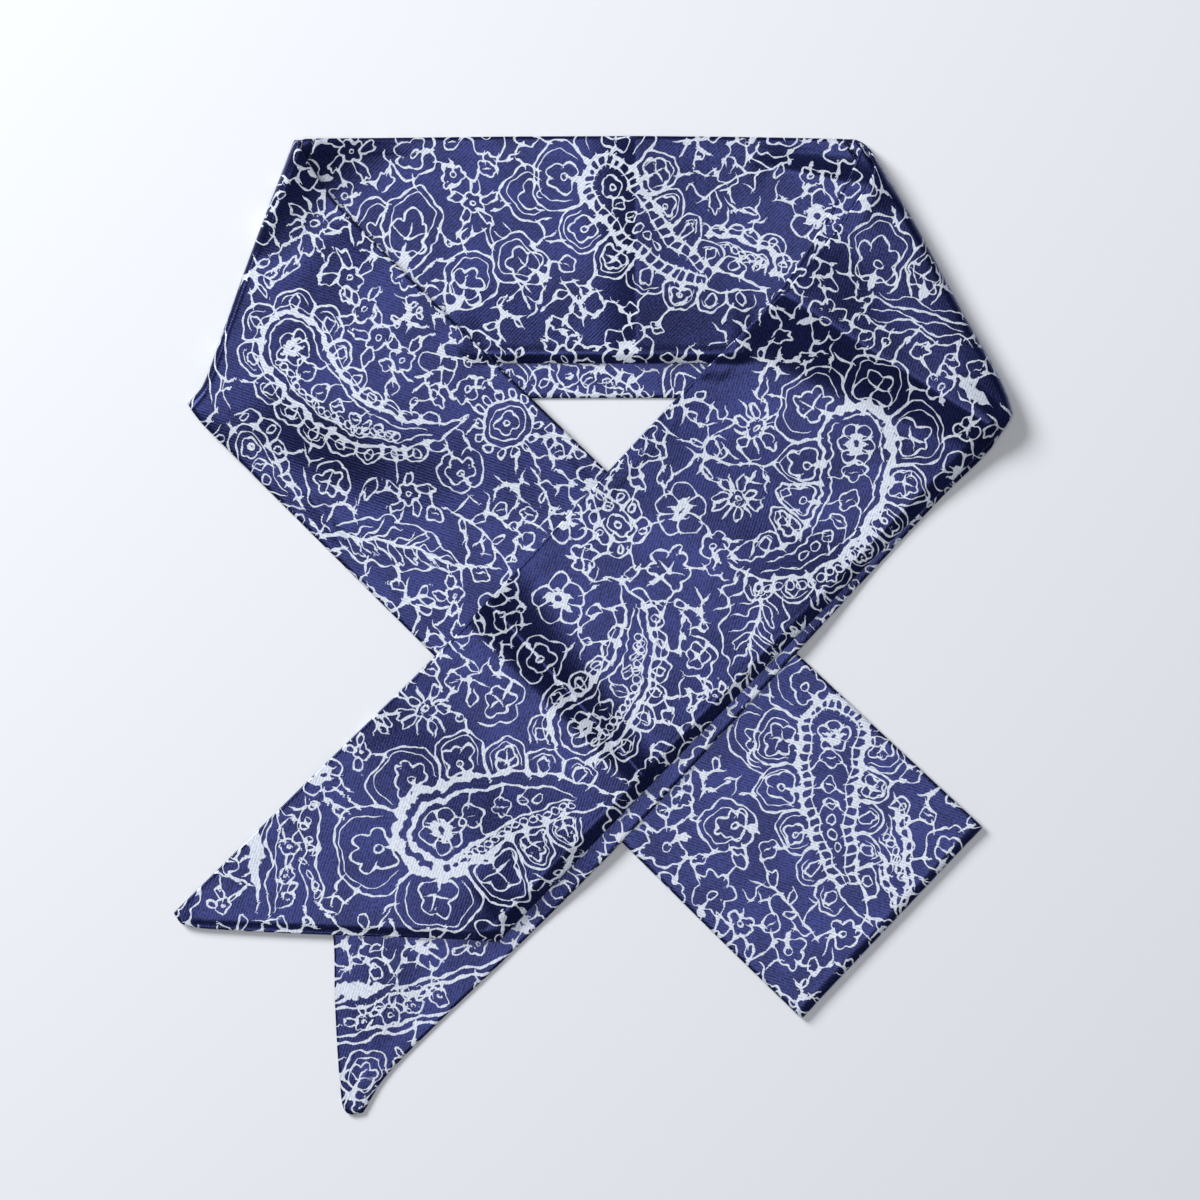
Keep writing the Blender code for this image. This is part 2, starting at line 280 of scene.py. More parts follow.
class Edge:
    """A smooth line through a few points, read by the distance along it."""

    def __init__(self, points):
        knots = [np.array(point, dtype=float) for point in points]
        knots = [2.0 * knots[0] - knots[1]] + knots + [2.0 * knots[-1] - knots[-2]]
        line = [knots[1]]
        for before, start, end, after in zip(knots, knots[1:], knots[2:], knots[3:]):
            span = np.linalg.norm(end - start)
            leave = (end - before) / np.linalg.norm(end - before) * span
            arrive = (after - start) / np.linalg.norm(after - start) * span
            for u in np.arange(1, 17) / 16.0:
                line.append(
                    (2.0 * u**3 - 3.0 * u**2 + 1.0) * start + (u**3 - 2.0 * u**2 + u) * leave
                    + (3.0 * u**2 - 2.0 * u**3) * end + (u**3 - u**2) * arrive
                )
        self.line = np.array(line)
        self.reach = reach_of(self.line)
        self.length = self.reach[-1]

    def at(self, distance):
        return read(self.line, self.reach, distance)

    def bow(self, columns):
        """How far the line lies from its own chord, at these shares of its length."""
        shares = columns[:, None]
        chord = (1.0 - shares) * self.at(0.0) + shares * self.at(self.length)
        return self.at(columns * self.length) - chord


class Strip:
    """The plan of a stretch, between an outer and an inner edge, and a start and an end line."""

    def __init__(self, outer, inner, start, end):
        self.outer = Edge(outer)
        self.inner = Edge(inner)
        self.start = Edge(start)
        self.end = Edge(end)

    def row(self, columns, outer_distance, inner_distance, share):
        """Points across the stretch, at these distances along its edges, as a columns x 2 array."""
        shares = columns[:, None]
        chord = (1.0 - shares) * self.outer.at(outer_distance) + shares * self.inner.at(inner_distance)
        return chord + (1.0 - share) * self.start.bow(columns) + share * self.end.bow(columns)

    def from_start(self, columns, distance):
        """The points across it at this distance past its start."""
        return self.row(columns, distance, distance, 0.0)

    def from_end(self, columns, distance):
        """The points across it at this distance before its end."""
        return self.row(columns, self.outer.length - distance, self.inner.length - distance, 1.0)


class Rows:
    """Rows of a stretch's middle surface, each a columns x 3 array, with its cells about this size."""

    def __init__(self, cell):
        self.cell = cell
        count = 2 * round(STRIP_WIDTH / cell / 2.0)
        inset = WALL / 2.0 / STRIP_WIDTH
        self.columns = np.linspace(inset, 1.0 - inset, count + 1)

    def turn(self, above, below, upper, lower, inset, bulge):
        """A half-turn, from its seam underneath, round the fold and up to the upper layer."""
        rows = []
        laps = max(2, round(LAP / self.cell))
        for step in range(laps):
            seam = below(self.columns, inset + bulge + LAP * (1.0 - step / laps))
            rows.append(np.column_stack((seam, lower(seam[:, 0], seam[:, 1]))))
        foot, head = below(self.columns, inset + bulge), above(self.columns, inset + bulge)
        low = lower(foot[:, 0], foot[:, 1])
        high = upper(head[:, 0], head[:, 1])
        steps = OUTER_STEPS if bulge == OUTER_BULGE else OTHER_STEPS
        for step in range(steps):
            angle = math.pi * (step / steps - 0.5)
            distance = inset + bulge * (1.0 - math.cos(angle))
            blend = (1.0 + math.sin(angle)) / 2.0
            plan = blend * above(self.columns, distance) + (1.0 - blend) * below(self.columns, distance)
            height = (high + low) / 2.0 + (high - low) / 2.0 * math.sin(angle)
            rows.append(np.column_stack((plan, height)))
        return rows

    def run(self, strip, height, first, last):
        """The flat run of a stretch, from first past its start to last before its end."""
        ends = (strip.outer.length - last, strip.inner.length - last)
        count = round((max(ends) - first) / self.cell)
        rows = []
        for index in range(count + 1):
            part = index / count
            outer = first + part * (ends[0] - first)
            inner = first + part * (ends[1] - first)
            plan = strip.row(self.columns, outer, inner, part)
            rows.append(np.column_stack((plan, height(plan[:, 0], plan[:, 1]))))
        return rows


# ---------------------------------------------------------------- the print

class Print:
    """White strokes of one ply's print: each has points and half-widths, in millimetres."""

    STEP = 0.55                 # length of a stroke's segments
    WEIGHT = 0.76               # how heavy all strokes are
    GAP = 0.9                   # bare ground left round what fills the ground
    OFF_GROUND = 3.0            # a spot this far from the ply's points lies outside it
    TIERS = (
        # kind     room needed  most  grid
        ("rosette",  7.2,       9.0,  3.0),
        ("frond",    5.0,       6.8,  2.4),
        ("blob",     3.5,       4.6,  1.9),
        ("squirm",   2.8,       4.0,  1.6),
    )
    BRIDGES = (0.95, 0.85, 0.7)     # how often a filling figure has a first, second and third link
    # The contour of a drop of each style, outwards offsets being above 0
    STYLES = {
        "ladder": {
            # how tall and how wide the lobes are round the head, and the offset of what is inside
            "lobes": (15.0, 13.0),
            "inside": -4.6,
            # offset start end  wide narrow sway fade
            "lines": ((0.0, 0.0, 1.0, 1.7, 1.0), (-3.2, 0.03, 0.97, 1.0, 0.8)),
        },
        "thick": {
            "lobes": (19.0, 15.0),
            "inside": -4.8,
            "lines": ((0.7, 0.02, 0.98, 3.7, 1.1, 0.0, 5.0), (-3.4, 0.05, 0.95, 2.4, 0.8, 0.15, 4.0)),
            # offset start end  size
            "cells": (-1.5, 0.66, 0.92, 1.1),
        },
        "plume": {
            "lobes": (16.0, 13.0),
            "inside": -3.8,
            "lines": (
                (0.2, 0.02, 0.6, 3.8, 1.3, 0.0, 3.0),
                (0.2, 0.58, 0.98, 1.4, 1.0, 0.35),
                *((-2.6, start, start + 0.024, 1.0, 0.8) for start in np.arange(0.08, 0.6, 0.035)),
                (-2.4, 0.62, 0.92, 1.0, 0.8, 0.3),
            ),
            "cells": (2.6, 0.06, 0.3, 1.3),
        },
        "lines": {
            "lobes": (8.0, 9.0),
            "inside": -3.4,
            "lines": (
                (0.0, 0.0, 1.0, 2.0, 1.1, 0.2),
                (-2.3, 0.03, 0.97, 0.9, 0.8, 0.2),
                (2.1, 0.12, 0.88, 0.7, 0.6, 0.2),
            ),
            "cells": (-4.0, 0.56, 0.86, 1.15),
        },
        "plain": {
            "lobes": (5.0, 6.0),
            "inside": -2.6,
            "lines": ((0.0, 0.0, 1.0, 1.2, 0.9), (-2.1, 0.03, 0.97, 0.7, 0.6)),
        },
        "small": {
            "lobes": (5.0, 6.0),
            "inside": -0.6,
            "lines": ((0.0, 0.0, 1.0, 1.2, 0.9),),
        },
    }

    def __init__(self, seed, ground):
        self.random = np.random.default_rng(seed)
        self.ground = ground
        self.strokes = []
        self.shields = np.zeros((0, 3))
        self.covers = []
        self.open = np.zeros((0, 3))

    # Strokes

    def line(self, points, width, thin=0.0):
        """A stroke through the points, left out where an earlier figure lies.

        thin is how much of its width it loses towards its ends.
        """
        if len(points) < 2:
            return
        points = np.asarray(points, dtype=float)
        widths = np.array(np.broadcast_to(width, len(points)), dtype=float)
        if len(points) < 12:
            points, widths = rounded(points), rounded(widths)
        reach = reach_of(points)
        if reach[-1] < 1e-6:
            return
        count = max(1, round(reach[-1] / self.STEP))
        at = np.linspace(0.0, reach[-1], count + 1)
        fine = read(points, reach, at)
        halves = np.interp(at, reach, widths) / 2.0 * (1.0 - thin * np.abs(2.0 * at / reach[-1] - 1.0))
        gaps = np.linalg.norm(fine[:, None] - self.shields[:, :2], axis=2)
        free = (gaps > self.shields[:, 2]).all(axis=1)
        breaks = np.flatnonzero(free[1:] != free[:-1]) + 1
        for part in np.split(np.arange(len(fine)), breaks):
            if free[part[0]] and len(part) > 1:
                self.strokes.append((fine[part], halves[part]))

    def dot(self, centre, size):
        """A round spot."""
        self.line((centre - (0.2, 0.0), centre + (0.2, 0.0)), size)

    def ring(self, centre, radius, width, lobes=0, depth=0.0, turn=0.0, part=1.0):
        """A round, or with lobes a flower-shaped, loop; part is how much of it is drawn."""
        angles = turn + np.linspace(0.0, math.tau * part, max(13, int(radius * 14)))
        scallop = np.abs(np.cos(lobes * (angles - turn) / 2.0)) ** 0.65
        reach = radius * (1.0 + depth * (2.0 * scallop - 1.0))
        points = np.column_stack((np.cos(angles), np.sin(angles))) * reach[:, None] + centre
        self.line(points, width)

    def petal(self, base, angle, length, width, line, part=1.0):
        """A drop-shaped loop that stands on its base, with a bumpy rim."""
        turn = np.linspace(-math.pi * part, math.pi * part, 36)
        bumps, phase = self.random.integers(4, 7), self.random.uniform(0.0, math.tau)
        lobed = 1.0 + 0.025 * min(length, 6.0) * np.cos(turn * bumps + phase)
        along = length * (0.5 + 0.5 * np.cos(turn)) * lobed
        aside = width * 0.5 * np.sin(turn) * (0.5 + 0.5 * np.cos(turn / 2.0)) * lobed
        self.line(place(base, angle, along, aside), line)

    def squiggle(self, base, angle, length, width, thin=0.2):
        """A short wavy line; returns its far end."""
        share = np.linspace(0.0, 1.0, 14)
        sway = self.random.uniform(0.1, 0.2) * min(length, 4.5)
        wave = np.sin(share * length * self.random.uniform(0.85, 1.25) + self.random.uniform(0.0, 6.0))
        points = place(base, angle, share * length, sway * wave * np.minimum(1.0, 3.0 * share))
        self.line(points, width, thin)
        return points[-1]

    def bare(self, centre, radius):
        """A place that the ground's filling keeps off."""
        self.open = np.concatenate((self.open, [(*centre, radius)]))

    def cover(self, centre, radius):
        """The round place that a figure takes up."""
        self.covers.append((*centre, radius))

    def cover_spine(self, drop, start, end, count, radius):
        """Covers along a drop's spine; radius gives the size of each at its share of the spine."""
        for share in np.linspace(start, end, count):
            self.cover(drop.spine(share), radius(share))

    def settle(self):
        """From here on, strokes stop at the figures drawn so far."""
        if self.covers:
            self.shields = np.array(self.covers)

    # Small figures

    def sprig(self, base, angle, size):
        """A lumpy plant, solid at its foot, with an eye or short veins in it."""
        pick = self.random
        middle = place(base, angle, 0.44 * size, pick.uniform(-0.06, 0.06) * size)
        foot = place(base, angle, 0.14 * size)
        self.line((base, foot, (foot + middle) / 2.0), (0.16 * size + 0.9, 0.1 * size + 0.8, 1.1))
        count = pick.integers(4, 7)
        ends = np.linspace(-2.5, 2.5, count + 1) + pick.uniform(-0.16, 0.16, count + 1)
        turn = np.linspace(ends[0], ends[-1], 60)
        lobe = np.clip(np.searchsorted(ends, turn, side="right"), 1, count) - 1
        share = (turn - ends[lobe]) / (ends[lobe + 1] - ends[lobe])
        crest = pick.uniform(0.46, 0.62, count)[lobe]
        reach = size * (0.34 + (crest - 0.34) * np.abs(np.sin(math.pi * share)) ** 0.6)
        rim = place(middle, angle, reach * np.cos(turn), reach * np.sin(turn) * 0.85)
        self.line(np.concatenate(([foot], rim, [foot])), pick.uniform(0.85, 1.05))
        if pick.random() < 0.4:
            self.ring(middle, 0.08 * size + 0.3, 0.8)
            return
        for side in (-1, 0, 1):
            way = angle + side * 1.3 + pick.uniform(-0.3, 0.3)
            near, far = pick.uniform(0.0, 0.08), pick.uniform(0.2, 0.32)
            self.line((place(middle, way, near * size), place(middle, way, far * size)), (1.2, 0.8))

    def flower(self, centre, radius, turn, petals=5):
        """A small solid flower with a dark eye, and loops round it."""
        core = min(1.9, radius * 0.3)
        self.ring(centre, core * 0.9, core * 1.15)
        rim = radius * 0.85
        self.ring(centre, rim, 0.9, petals, 0.18, turn)
        if radius < 4.4:
            return
        for petal in range(petals):
            way = turn + math.tau * petal / petals
            self.dot(place(centre, way, core * 1.45), core * 1.15)
            way += math.pi / petals
            self.line((place(centre, way, core * 1.5), place(centre, way, rim * 0.85)), (0.7, 1.1))

    def bloom(self, centre, radius, heading=0.0, leaves=5):
        """A five-lobed flower with an eye, and leaves that stand on its rim."""
        pick = self.random
        turn = math.radians(heading)
        self.ring(centre, radius, 0.95, 5, 0.2, turn)
        self.ring(centre, radius * 0.28, 0.75)
        for index in range(leaves):
            way = turn + math.tau * (index + 0.5) / 5.0
            foot = place(centre, way, radius * 0.86)
            self.petal(foot, way, radius * pick.uniform(1.4, 2.0), radius * 1.15, 0.9)
        self.cover(centre, radius * 0.9)

    def burst(self, centre, radius, heading=0.0):
        """A ragged flower head: petals and wavy lines all round an eye."""
        pick = self.random
        turn = math.radians(heading)
        self.ring(centre, radius * 0.13, 0.9)
        self.ring(centre, radius * 0.36, 0.9, 5, 0.2, turn)
        for index in range(10):
            way = turn + math.tau * (index + pick.uniform(-0.2, 0.2)) / 10.0
            foot = place(centre, way, radius * 0.38)
            long = radius * pick.uniform(0.5, 0.75)
            if index % 2 == 0 or pick.random() < 0.3:
                self.petal(foot, way, long, long * pick.uniform(0.6, 0.8), 0.9)
            else:
                self.squiggle(foot, way, long * 0.8, 1.3)
        self.cover(centre, radius)

    def rings(self, centre, radius):
        """Round lines inside each other, a flower in the middle and beads outside."""
        self.ring(centre, radius, 1.1)
        self.ring(centre, radius - 1.9, 0.7)
        self.ring(centre, (radius - 3.4) * 0.8, 0.9, 4, 0.24)
        self.ring(centre + (0.3, -0.2), 0.9, 0.7)
        beads = int(radius * 1.9)
        for index in range(beads):
            way = math.tau * index / beads
            self.petal(place(centre, way, radius), way, 3.0, 2.9, 0.85)
        self.cover(centre, radius + 2.8)

    def arch(self, foot, radius, heading, tall):
        """A tall lobe on a solid foot, with a double outline and a plant in it."""
        way = math.radians(heading)
        turn = np.linspace(-math.pi, math.pi, 90)
        lobed = 0.9 + 0.15 * np.abs(np.cos(2.5 * turn)) ** 0.7
        for shrink, width in ((0.0, 1.0), (2.0, 0.65)):
            along = shrink * 1.6 + (tall - 2.6 * shrink) * (0.5 + 0.5 * np.cos(turn) * lobed)
            aside = (radius - shrink) * np.sin(turn) * (0.62 + 0.38 * np.cos(turn / 2.0)) * 1.25 * lobed
            self.line(place(foot, way, along, aside), width)
        self.line((foot, place(foot, way, 0.16 * tall)), (3.4, 2.0))
        self.sprig(place(foot, way, 0.12 * tall), way, 0.62 * tall)
        self.cover(place(foot, way, 0.3 * tall), 0.9 * radius)
        self.cover(place(foot, way, 0.6 * tall), min(1.15 * radius, 0.43 * tall))

    def twig(self, *shape):
        """A wandering line with side shoots, some of them hooked."""
        pick = self.random
        stem = Drop(*shape, leaf=True)
        self.line([stem.spine(share) for share in np.linspace(0.0, 1.0, 30)], (1.3, *([1.0] * 28), 0.7))
        side = 1
        for share in np.arange(0.08, 1.0, 3.6 / stem.span):
            way = stem.heading(share) + side * math.radians(pick.uniform(45.0, 75.0))
            long = stem.head * pick.uniform(0.6, 1.1)
            if pick.random() < 0.4:
                self.petal(stem.spine(share), way, long, long * 0.6, 0.85)
            else:
                end = self.squiggle(stem.spine(share), way, long, 1.0)
                self.squiggle(end, way - side * 1.6, long * 0.45, 0.9)
            side = -side
        self.cover_spine(stem, 0.1, 0.9, 6, lambda share: stem.head * 0.5)

    def waves(self, foot, radius, heading, length, turn=0.0, style=""):
        """Long lines side by side, wavering together; beaded, or bold and straighter."""
        pick = self.random
        drop = Drop(foot, radius, heading, length, turn, leaf=True)
        shares = np.linspace(0.0, 1.0, 60)
        for index, offset in enumerate(np.arange(-radius, radius + 0.1, 2.35)):
            sway = 0.8 * np.sin(shares * length * pick.uniform(0.34, 0.46) + 2.1 * index)
            if style == "bold":
                sway *= 0.4
                start, end = 0.0, 1.0
            else:
                start, end = pick.uniform(0.0, 0.14), pick.uniform(0.86, 1.0)
            kept = (shares > start) & (shares < end)
            line = [drop.beside(share, offset + move) for share, move in zip(shares[kept], sway[kept])]
            if style == "beaded" and index % 3 == 1:
                for point in line[::4]:
                    self.petal(point, pick.uniform(0.0, math.tau), pick.uniform(2.2, 3.2), 2.2, 0.8)
            else:
                self.line(line, 1.5 if style == "bold" else pick.uniform(0.7, 1.15), 0.2)
        self.cover_spine(drop, 0.0, 1.0, 12, lambda share: radius + 0.9)

    def patch(self, *shape):
        """A plain white place with ragged sides."""
        drop = Drop(*shape, leaf=True)
        shares = np.linspace(0.02, 0.98, 14)
        self.line([drop.spine(share) for share in shares], 2.0 * drop.radius(shares))
        self.cover_spine(drop, 0.1, 0.9, 5, lambda share: drop.head)

    def leaf(self, *shape):
        """A long leaf: a midrib, slanted veins that loop back, and a wavy edge."""
        pick = self.random
        drop = Drop(*shape, leaf=True)
        rib = np.array([drop.spine(share) for share in np.linspace(-0.1, 0.97, 30)])
        self.line(rib, np.linspace(1.9, 0.8, 30))
        for side in (-1, 1):
            edge = []
            for share in np.linspace(0.04, 0.99, 40):
                reach = drop.radius(share) * (1.0 + 0.1 * math.sin(share * drop.span * 0.9))
                edge.append(drop.beside(share, side * reach))
            self.line(edge, 0.9)
            for share in np.arange(0.08, 0.82, 4.4 / drop.span):
                far = drop.radius(share + 0.12) * pick.uniform(0.55, 0.8)
                root, tip = drop.spine(share), drop.beside(share + 0.16, side * far)
                way, long = math.atan2(*(tip - root)[::-1]), np.linalg.norm(tip - root)
                if pick.random() < 0.4:
                    self.petal(root, way, long, 2.6, 0.75)
                else:
                    self.squiggle(root, way, long, 0.95)
        self.cover_spine(drop, 0.0, 1.0, 10, lambda share: drop.radius(share) + 0.7)

    # The paisley drop

    def boteh(self, head, radius, heading, length, turn, style):
        """A paisley drop with its contour, flowers inside it and lobes outside."""
        drop = Drop(head, radius, heading, length, turn)
        parts = self.STYLES[style]
        for line in parts["lines"]:
            self.outline(drop, *line)
        if style == "ladder":
            self.rungs(drop)
        if "cells" in parts:
            self.cells(drop, *parts["cells"])
        self.heart(drop, parts["inside"])
        tall, pitch = parts["lobes"]
        size = min(1.0, radius / 9.0) if tall > 5.0 else 1.0
        self.lobes(drop, tall * size, pitch * size)

        def radius_with_lobes(share):
            fat = drop.radius(share) / drop.head
            return drop.radius(share) + 0.9 * tall * size * (0.36 + 0.64 * fat ** 2)

        self.cover_spine(drop, 0.0, 1.0, 16, radius_with_lobes)

    def outline(self, drop, offset, start, end, wide, narrow, sway=0.0, fade=1.5):
        """The drop's outline moved outwards, wide at its head and narrow at its tip."""
        points, widths = [], []
        for share in np.linspace(start, end, 120):
            at = share * drop.length
            room = drop.room(at)
            if offset >= 0.0 or room > 0.5 - offset:
                points.append(drop.at(at, offset + sway * math.sin(at * 1.9 + offset)))
                widths.append(narrow + (wide - narrow) * (room / drop.head) ** fade)
        self.line(points, widths)

    def cells(self, drop, offset, start, end, size):
        """A row of round cells along the drop's outline."""
        for at in np.arange(start * drop.length, end * drop.length, size * 2.2):
            if drop.room(at) > max(2.2, 0.25 * drop.head):
                self.ring(drop.at(at, offset), size, 0.75)

    def rungs(self, drop):
        """Short lines across a ladder, which leave a row of dark cells."""
        for at in np.arange(0.03 * drop.length, 0.97 * drop.length, 2.9):
            if drop.room(at) > 3.4:
                slip = self.random.uniform(-0.4, 0.4)
                self.line((drop.at(at, -0.2), drop.at(at + slip, -3.0)), (1.5, 1.0))

    def heart(self, drop, inner):
        """The flowers inside a drop: a big one in the head, and a chain towards the tip."""
        pick = self.random
        room = drop.head + inner
        if room < 1.4:
            return
        turn = pick.uniform(0.0, math.tau)
        self.flower(drop.spine(0.02), room - 0.6, turn, 5 if room < 6.5 else 6)
        share = (room + 2.6) / drop.span
        while share < 0.86:
            width = drop.radius(share) + inner
            if width < 1.3:
                break
            way = drop.heading(share)
            centre = drop.spine(share)
            if width > 2.6:
                self.ring(centre, width * 0.5, 0.85, 4, 0.22, way)
                self.dot(centre, 0.9)
                for side in (-1, 1):
                    foot = place(centre, way + side * 1.3, width * 0.55)
                    self.squiggle(foot, way + side * 0.9, width * 0.7, 0.85)
            else:
                self.petal(place(centre, way, -1.3), way, 2.8, width * 1.5, 0.8)
            share += max(3.6, width * 1.5) / drop.span

    def lobes(self, drop, tall, pitch):
        """Scallops round a drop, each with a plant in it and a thinner line inside its rim."""
        pick = self.random
        angles = np.radians(np.linspace(180.0, 0.0, 36))
        at = 0.05 * drop.length
        while at < 0.93 * drop.length:
            share = 0.36 + 0.64 * (drop.room(at) / drop.head) ** 2
            height = tall * share * pick.uniform(0.85, 1.08)
            step = pitch * (0.45 + 0.55 * share) * pick.uniform(0.9, 1.15)
            x = 0.5 + 0.5 * np.cos(angles)
            rise = height * (0.3 + 0.7 * np.sin(angles) ** 0.7)
            rise *= 1.0 + 0.03 * np.sin(angles * 7.0 + pick.uniform(0.0, 6.0))
            self.line([drop.at(at + u * step, n) for u, n in zip(x, rise)], 0.95)
            stalk = [drop.at(at, offset) for offset in (0.4, height * 0.2, height * 0.4)]
            self.line(stalk, (2.4, 1.0, 1.4))
            if height > 6.0:
                x = 0.5 + (0.5 - 1.7 / step) * np.cos(angles)
                inner = 0.25 * height + (rise - 0.25 * height) * (1.0 - 1.9 / height)
                kept = slice(0, 36) if height > 9.0 else slice(6, 30)
                self.line([drop.at(at + u * step, n) for u, n in zip(x[kept], inner[kept])], 0.55)
            way = drop.way(at + step / 2.0)
            base = drop.at(at + step / 2.0, 0.8)
            if height > 9.0:
                self.sprig(base, way, height * 0.74)
            elif height > 4.0:
                self.petal(base, way, height * 0.6, step * 0.42, 0.85)
            at += step

    # The ground between the figures

    def fill(self, low, high):
        """Flowers, loops and squiggles wherever the ground is bare, the large ones first."""
        pick = self.random
        for kind, need, most, grid in self.TIERS:
            strokes = self.strokes or [(np.full((1, 2), 1e6), np.zeros(1))]
            tree = lookup(np.concatenate([fine for fine, _ in strokes]))
            halves = np.concatenate([half for _, half in strokes])
            taken = np.zeros((0, 3))
            spots = np.meshgrid(*(np.arange(*ends, grid) for ends in zip(low, high)), indexing="ij")
            spots = np.stack(spots, axis=-1).reshape(-1, 2)
            spots = spots + pick.uniform(-0.5, 0.5, (len(spots), 2)) * grid
            for spot in pick.permutation(spots):
                if self.ground.find((*spot, 0.0))[2] > self.OFF_GROUND:
                    continue
                _, index, gap = tree.find((*spot, 0.0))
                room = gap - halves[index]
                room = min([room, *(np.hypot(*(self.open[:, :2] - spot).T) - self.open[:, 2])])
                if room < need:
                    continue
                reach = min(room, most) - self.GAP
                if (np.hypot(*(taken[:, :2] - spot).T) < taken[:, 2] + reach + self.GAP).any():
                    continue
                taken = np.concatenate((taken, [(*spot, reach)]))
                way = pick.uniform(0.0, math.tau)
                getattr(self, kind)(spot, reach, way)
                turns = (0.0, pick.uniform(1.2, 2.8), pick.uniform(3.2, 5.0))
                for turn, share in zip(turns, self.BRIDGES):
                    if pick.random() < share:
                        self.bridge(spot, reach, way + turn, tree)

    def bridge(self, spot, reach, way, tree):
        """A short link from a figure's rim to the nearest stroke on that side."""
        rim = place(spot, way, reach * 0.85)
        near = tree.find((*place(spot, way, reach + 1.2), 0.0))[0]
        end = np.array(near[:2])
        if 0.8 < np.linalg.norm(end - rim) < 5.0:
            bend = (rim + end) / 2.0 + self.random.uniform(-0.5, 0.5, 2)
            self.line((rim, bend, end), (1.6, 0.7, 1.6))

    def coral(self, spot, reach, way):
        """Forked arms that are thickest where they meet, some with a loop in the fork."""
        pick = self.random
        arms = pick.integers(3, 5)
        for arm in range(arms):
            turn = way + math.tau * arm / arms + pick.uniform(-0.3, 0.3)
            knee = place(spot, turn, 0.5 * reach, pick.uniform(-0.12, 0.12) * reach)
            self.line((spot, knee), (1.9, 1.1))
            for side in (-1, 1):
                fork = turn + side * pick.uniform(0.5, 0.9)
                if pick.random() < 0.35:
                    self.petal(knee, fork, 0.55 * reach, 0.4 * reach, 0.9)
                else:
                    tip = place(knee, fork, pick.uniform(0.3, 0.5) * reach)
                    self.line((knee, tip), (1.3, 0.9))

    # What fills the ground at a spot, this far round it and heading this way

    def rosette(self, spot, reach, way):
        kind = self.random.random()
        if kind < 0.2:
            self.flower(spot, reach, way)
        elif kind < 0.3:
            self.bloom(spot, reach / 2.5, math.degrees(way))
        elif kind < 0.55:
            self.coral(spot, reach, way)
        elif kind < 0.75:
            self.sprig(place(spot, way, -reach * 0.9), way, reach * 1.75)
        else:
            self.ring(spot, reach * 0.88, 0.95, 5, 0.12, way, self.random.choice((0.9, 0.6)))
            self.sprig(place(spot, way, -reach * 0.7), way, reach * 1.35)

    def frond(self, spot, reach, way):
        kind = self.random.random()
        if kind < 0.4:
            self.sprig(place(spot, way, -reach * 0.9), way, reach * 1.9)
        elif kind < 0.5:
            self.bloom(spot, reach / 2.2, math.degrees(way), 3)
        elif kind < 0.8:
            self.coral(spot, reach, way)
        else:
            end = self.squiggle(place(spot, way, -reach), way, reach * 1.9, 1.0)
            self.squiggle(end, way + 2.2, reach * 1.1, 0.9)
            self.petal(spot, way - 1.5, reach * 0.9, reach * 0.6, 0.8)

    def blob(self, spot, reach, way):
        kind = self.random.random()
        if kind < 0.35:
            self.ring(spot, reach * 0.76, 0.85, self.random.integers(3, 6), 0.16, way)
            if reach > 2.6:
                self.dot(spot, 1.0)
        elif kind < 0.7:
            part = self.random.choice((1.0, 0.75))
            self.petal(place(spot, way, -reach), way, reach * 1.9, reach * 1.4, 0.9, part)
        else:
            end = self.squiggle(place(spot, way, -reach), way, reach * 1.8, 1.0)
            self.squiggle(end, way + self.random.choice((-2.0, 2.0)), reach * 1.1, 0.9)

    def squirm(self, spot, reach, way):
        kind = self.random.random()
        if kind < 0.25:
            self.ring(spot, reach * 0.62, 0.75)
        elif kind < 0.8:
            self.squiggle(place(spot, way, -reach), way, reach * 2.0, 0.95)

    def warp(self):
        """Gives all strokes the same hand-drawn waver, and uneven widths."""
        for index, (points, widths) in enumerate(self.strokes):
            x, y = points.T
            dx = 0.55 * np.sin(y * 0.52 + 1.3 * np.sin(x * 0.31)) + 0.16 * np.sin(y * 1.5 + x * 0.6)
            dy = 0.55 * np.sin(x * 0.47 + 1.1 * np.sin(y * 0.35)) + 0.16 * np.sin(x * 1.6 - y * 0.5)
            gain = self.WEIGHT * (1.0 + 0.32 * np.sin(x * 0.9 + y * 0.5) * np.sin(y * 0.8 - x * 0.4))
            widths = np.maximum(widths * gain - 0.09, 0.15)
            self.strokes[index] = (points + np.column_stack((dx, dy)), widths)


def rounded(line):
    """The line with its corners cut twice."""
    for _ in range(2):
        near, far = 0.75 * line[:-1] + 0.25 * line[1:], 0.25 * line[:-1] + 0.75 * line[1:]
        middle = np.stack((near, far), axis=1).reshape(-1, *line.shape[1:])
        line = np.concatenate((line[:1], middle, line[-1:]))
    return line


def place(base, angle, along, aside=0.0):
    """Points that far along the angle from the base, and that far to its left."""
    x = base[0] + along * math.cos(angle) - aside * math.sin(angle)
    y = base[1] + along * math.sin(angle) + aside * math.cos(angle)
    return np.column_stack((x, y)) if np.ndim(x) else np.array((x, y))


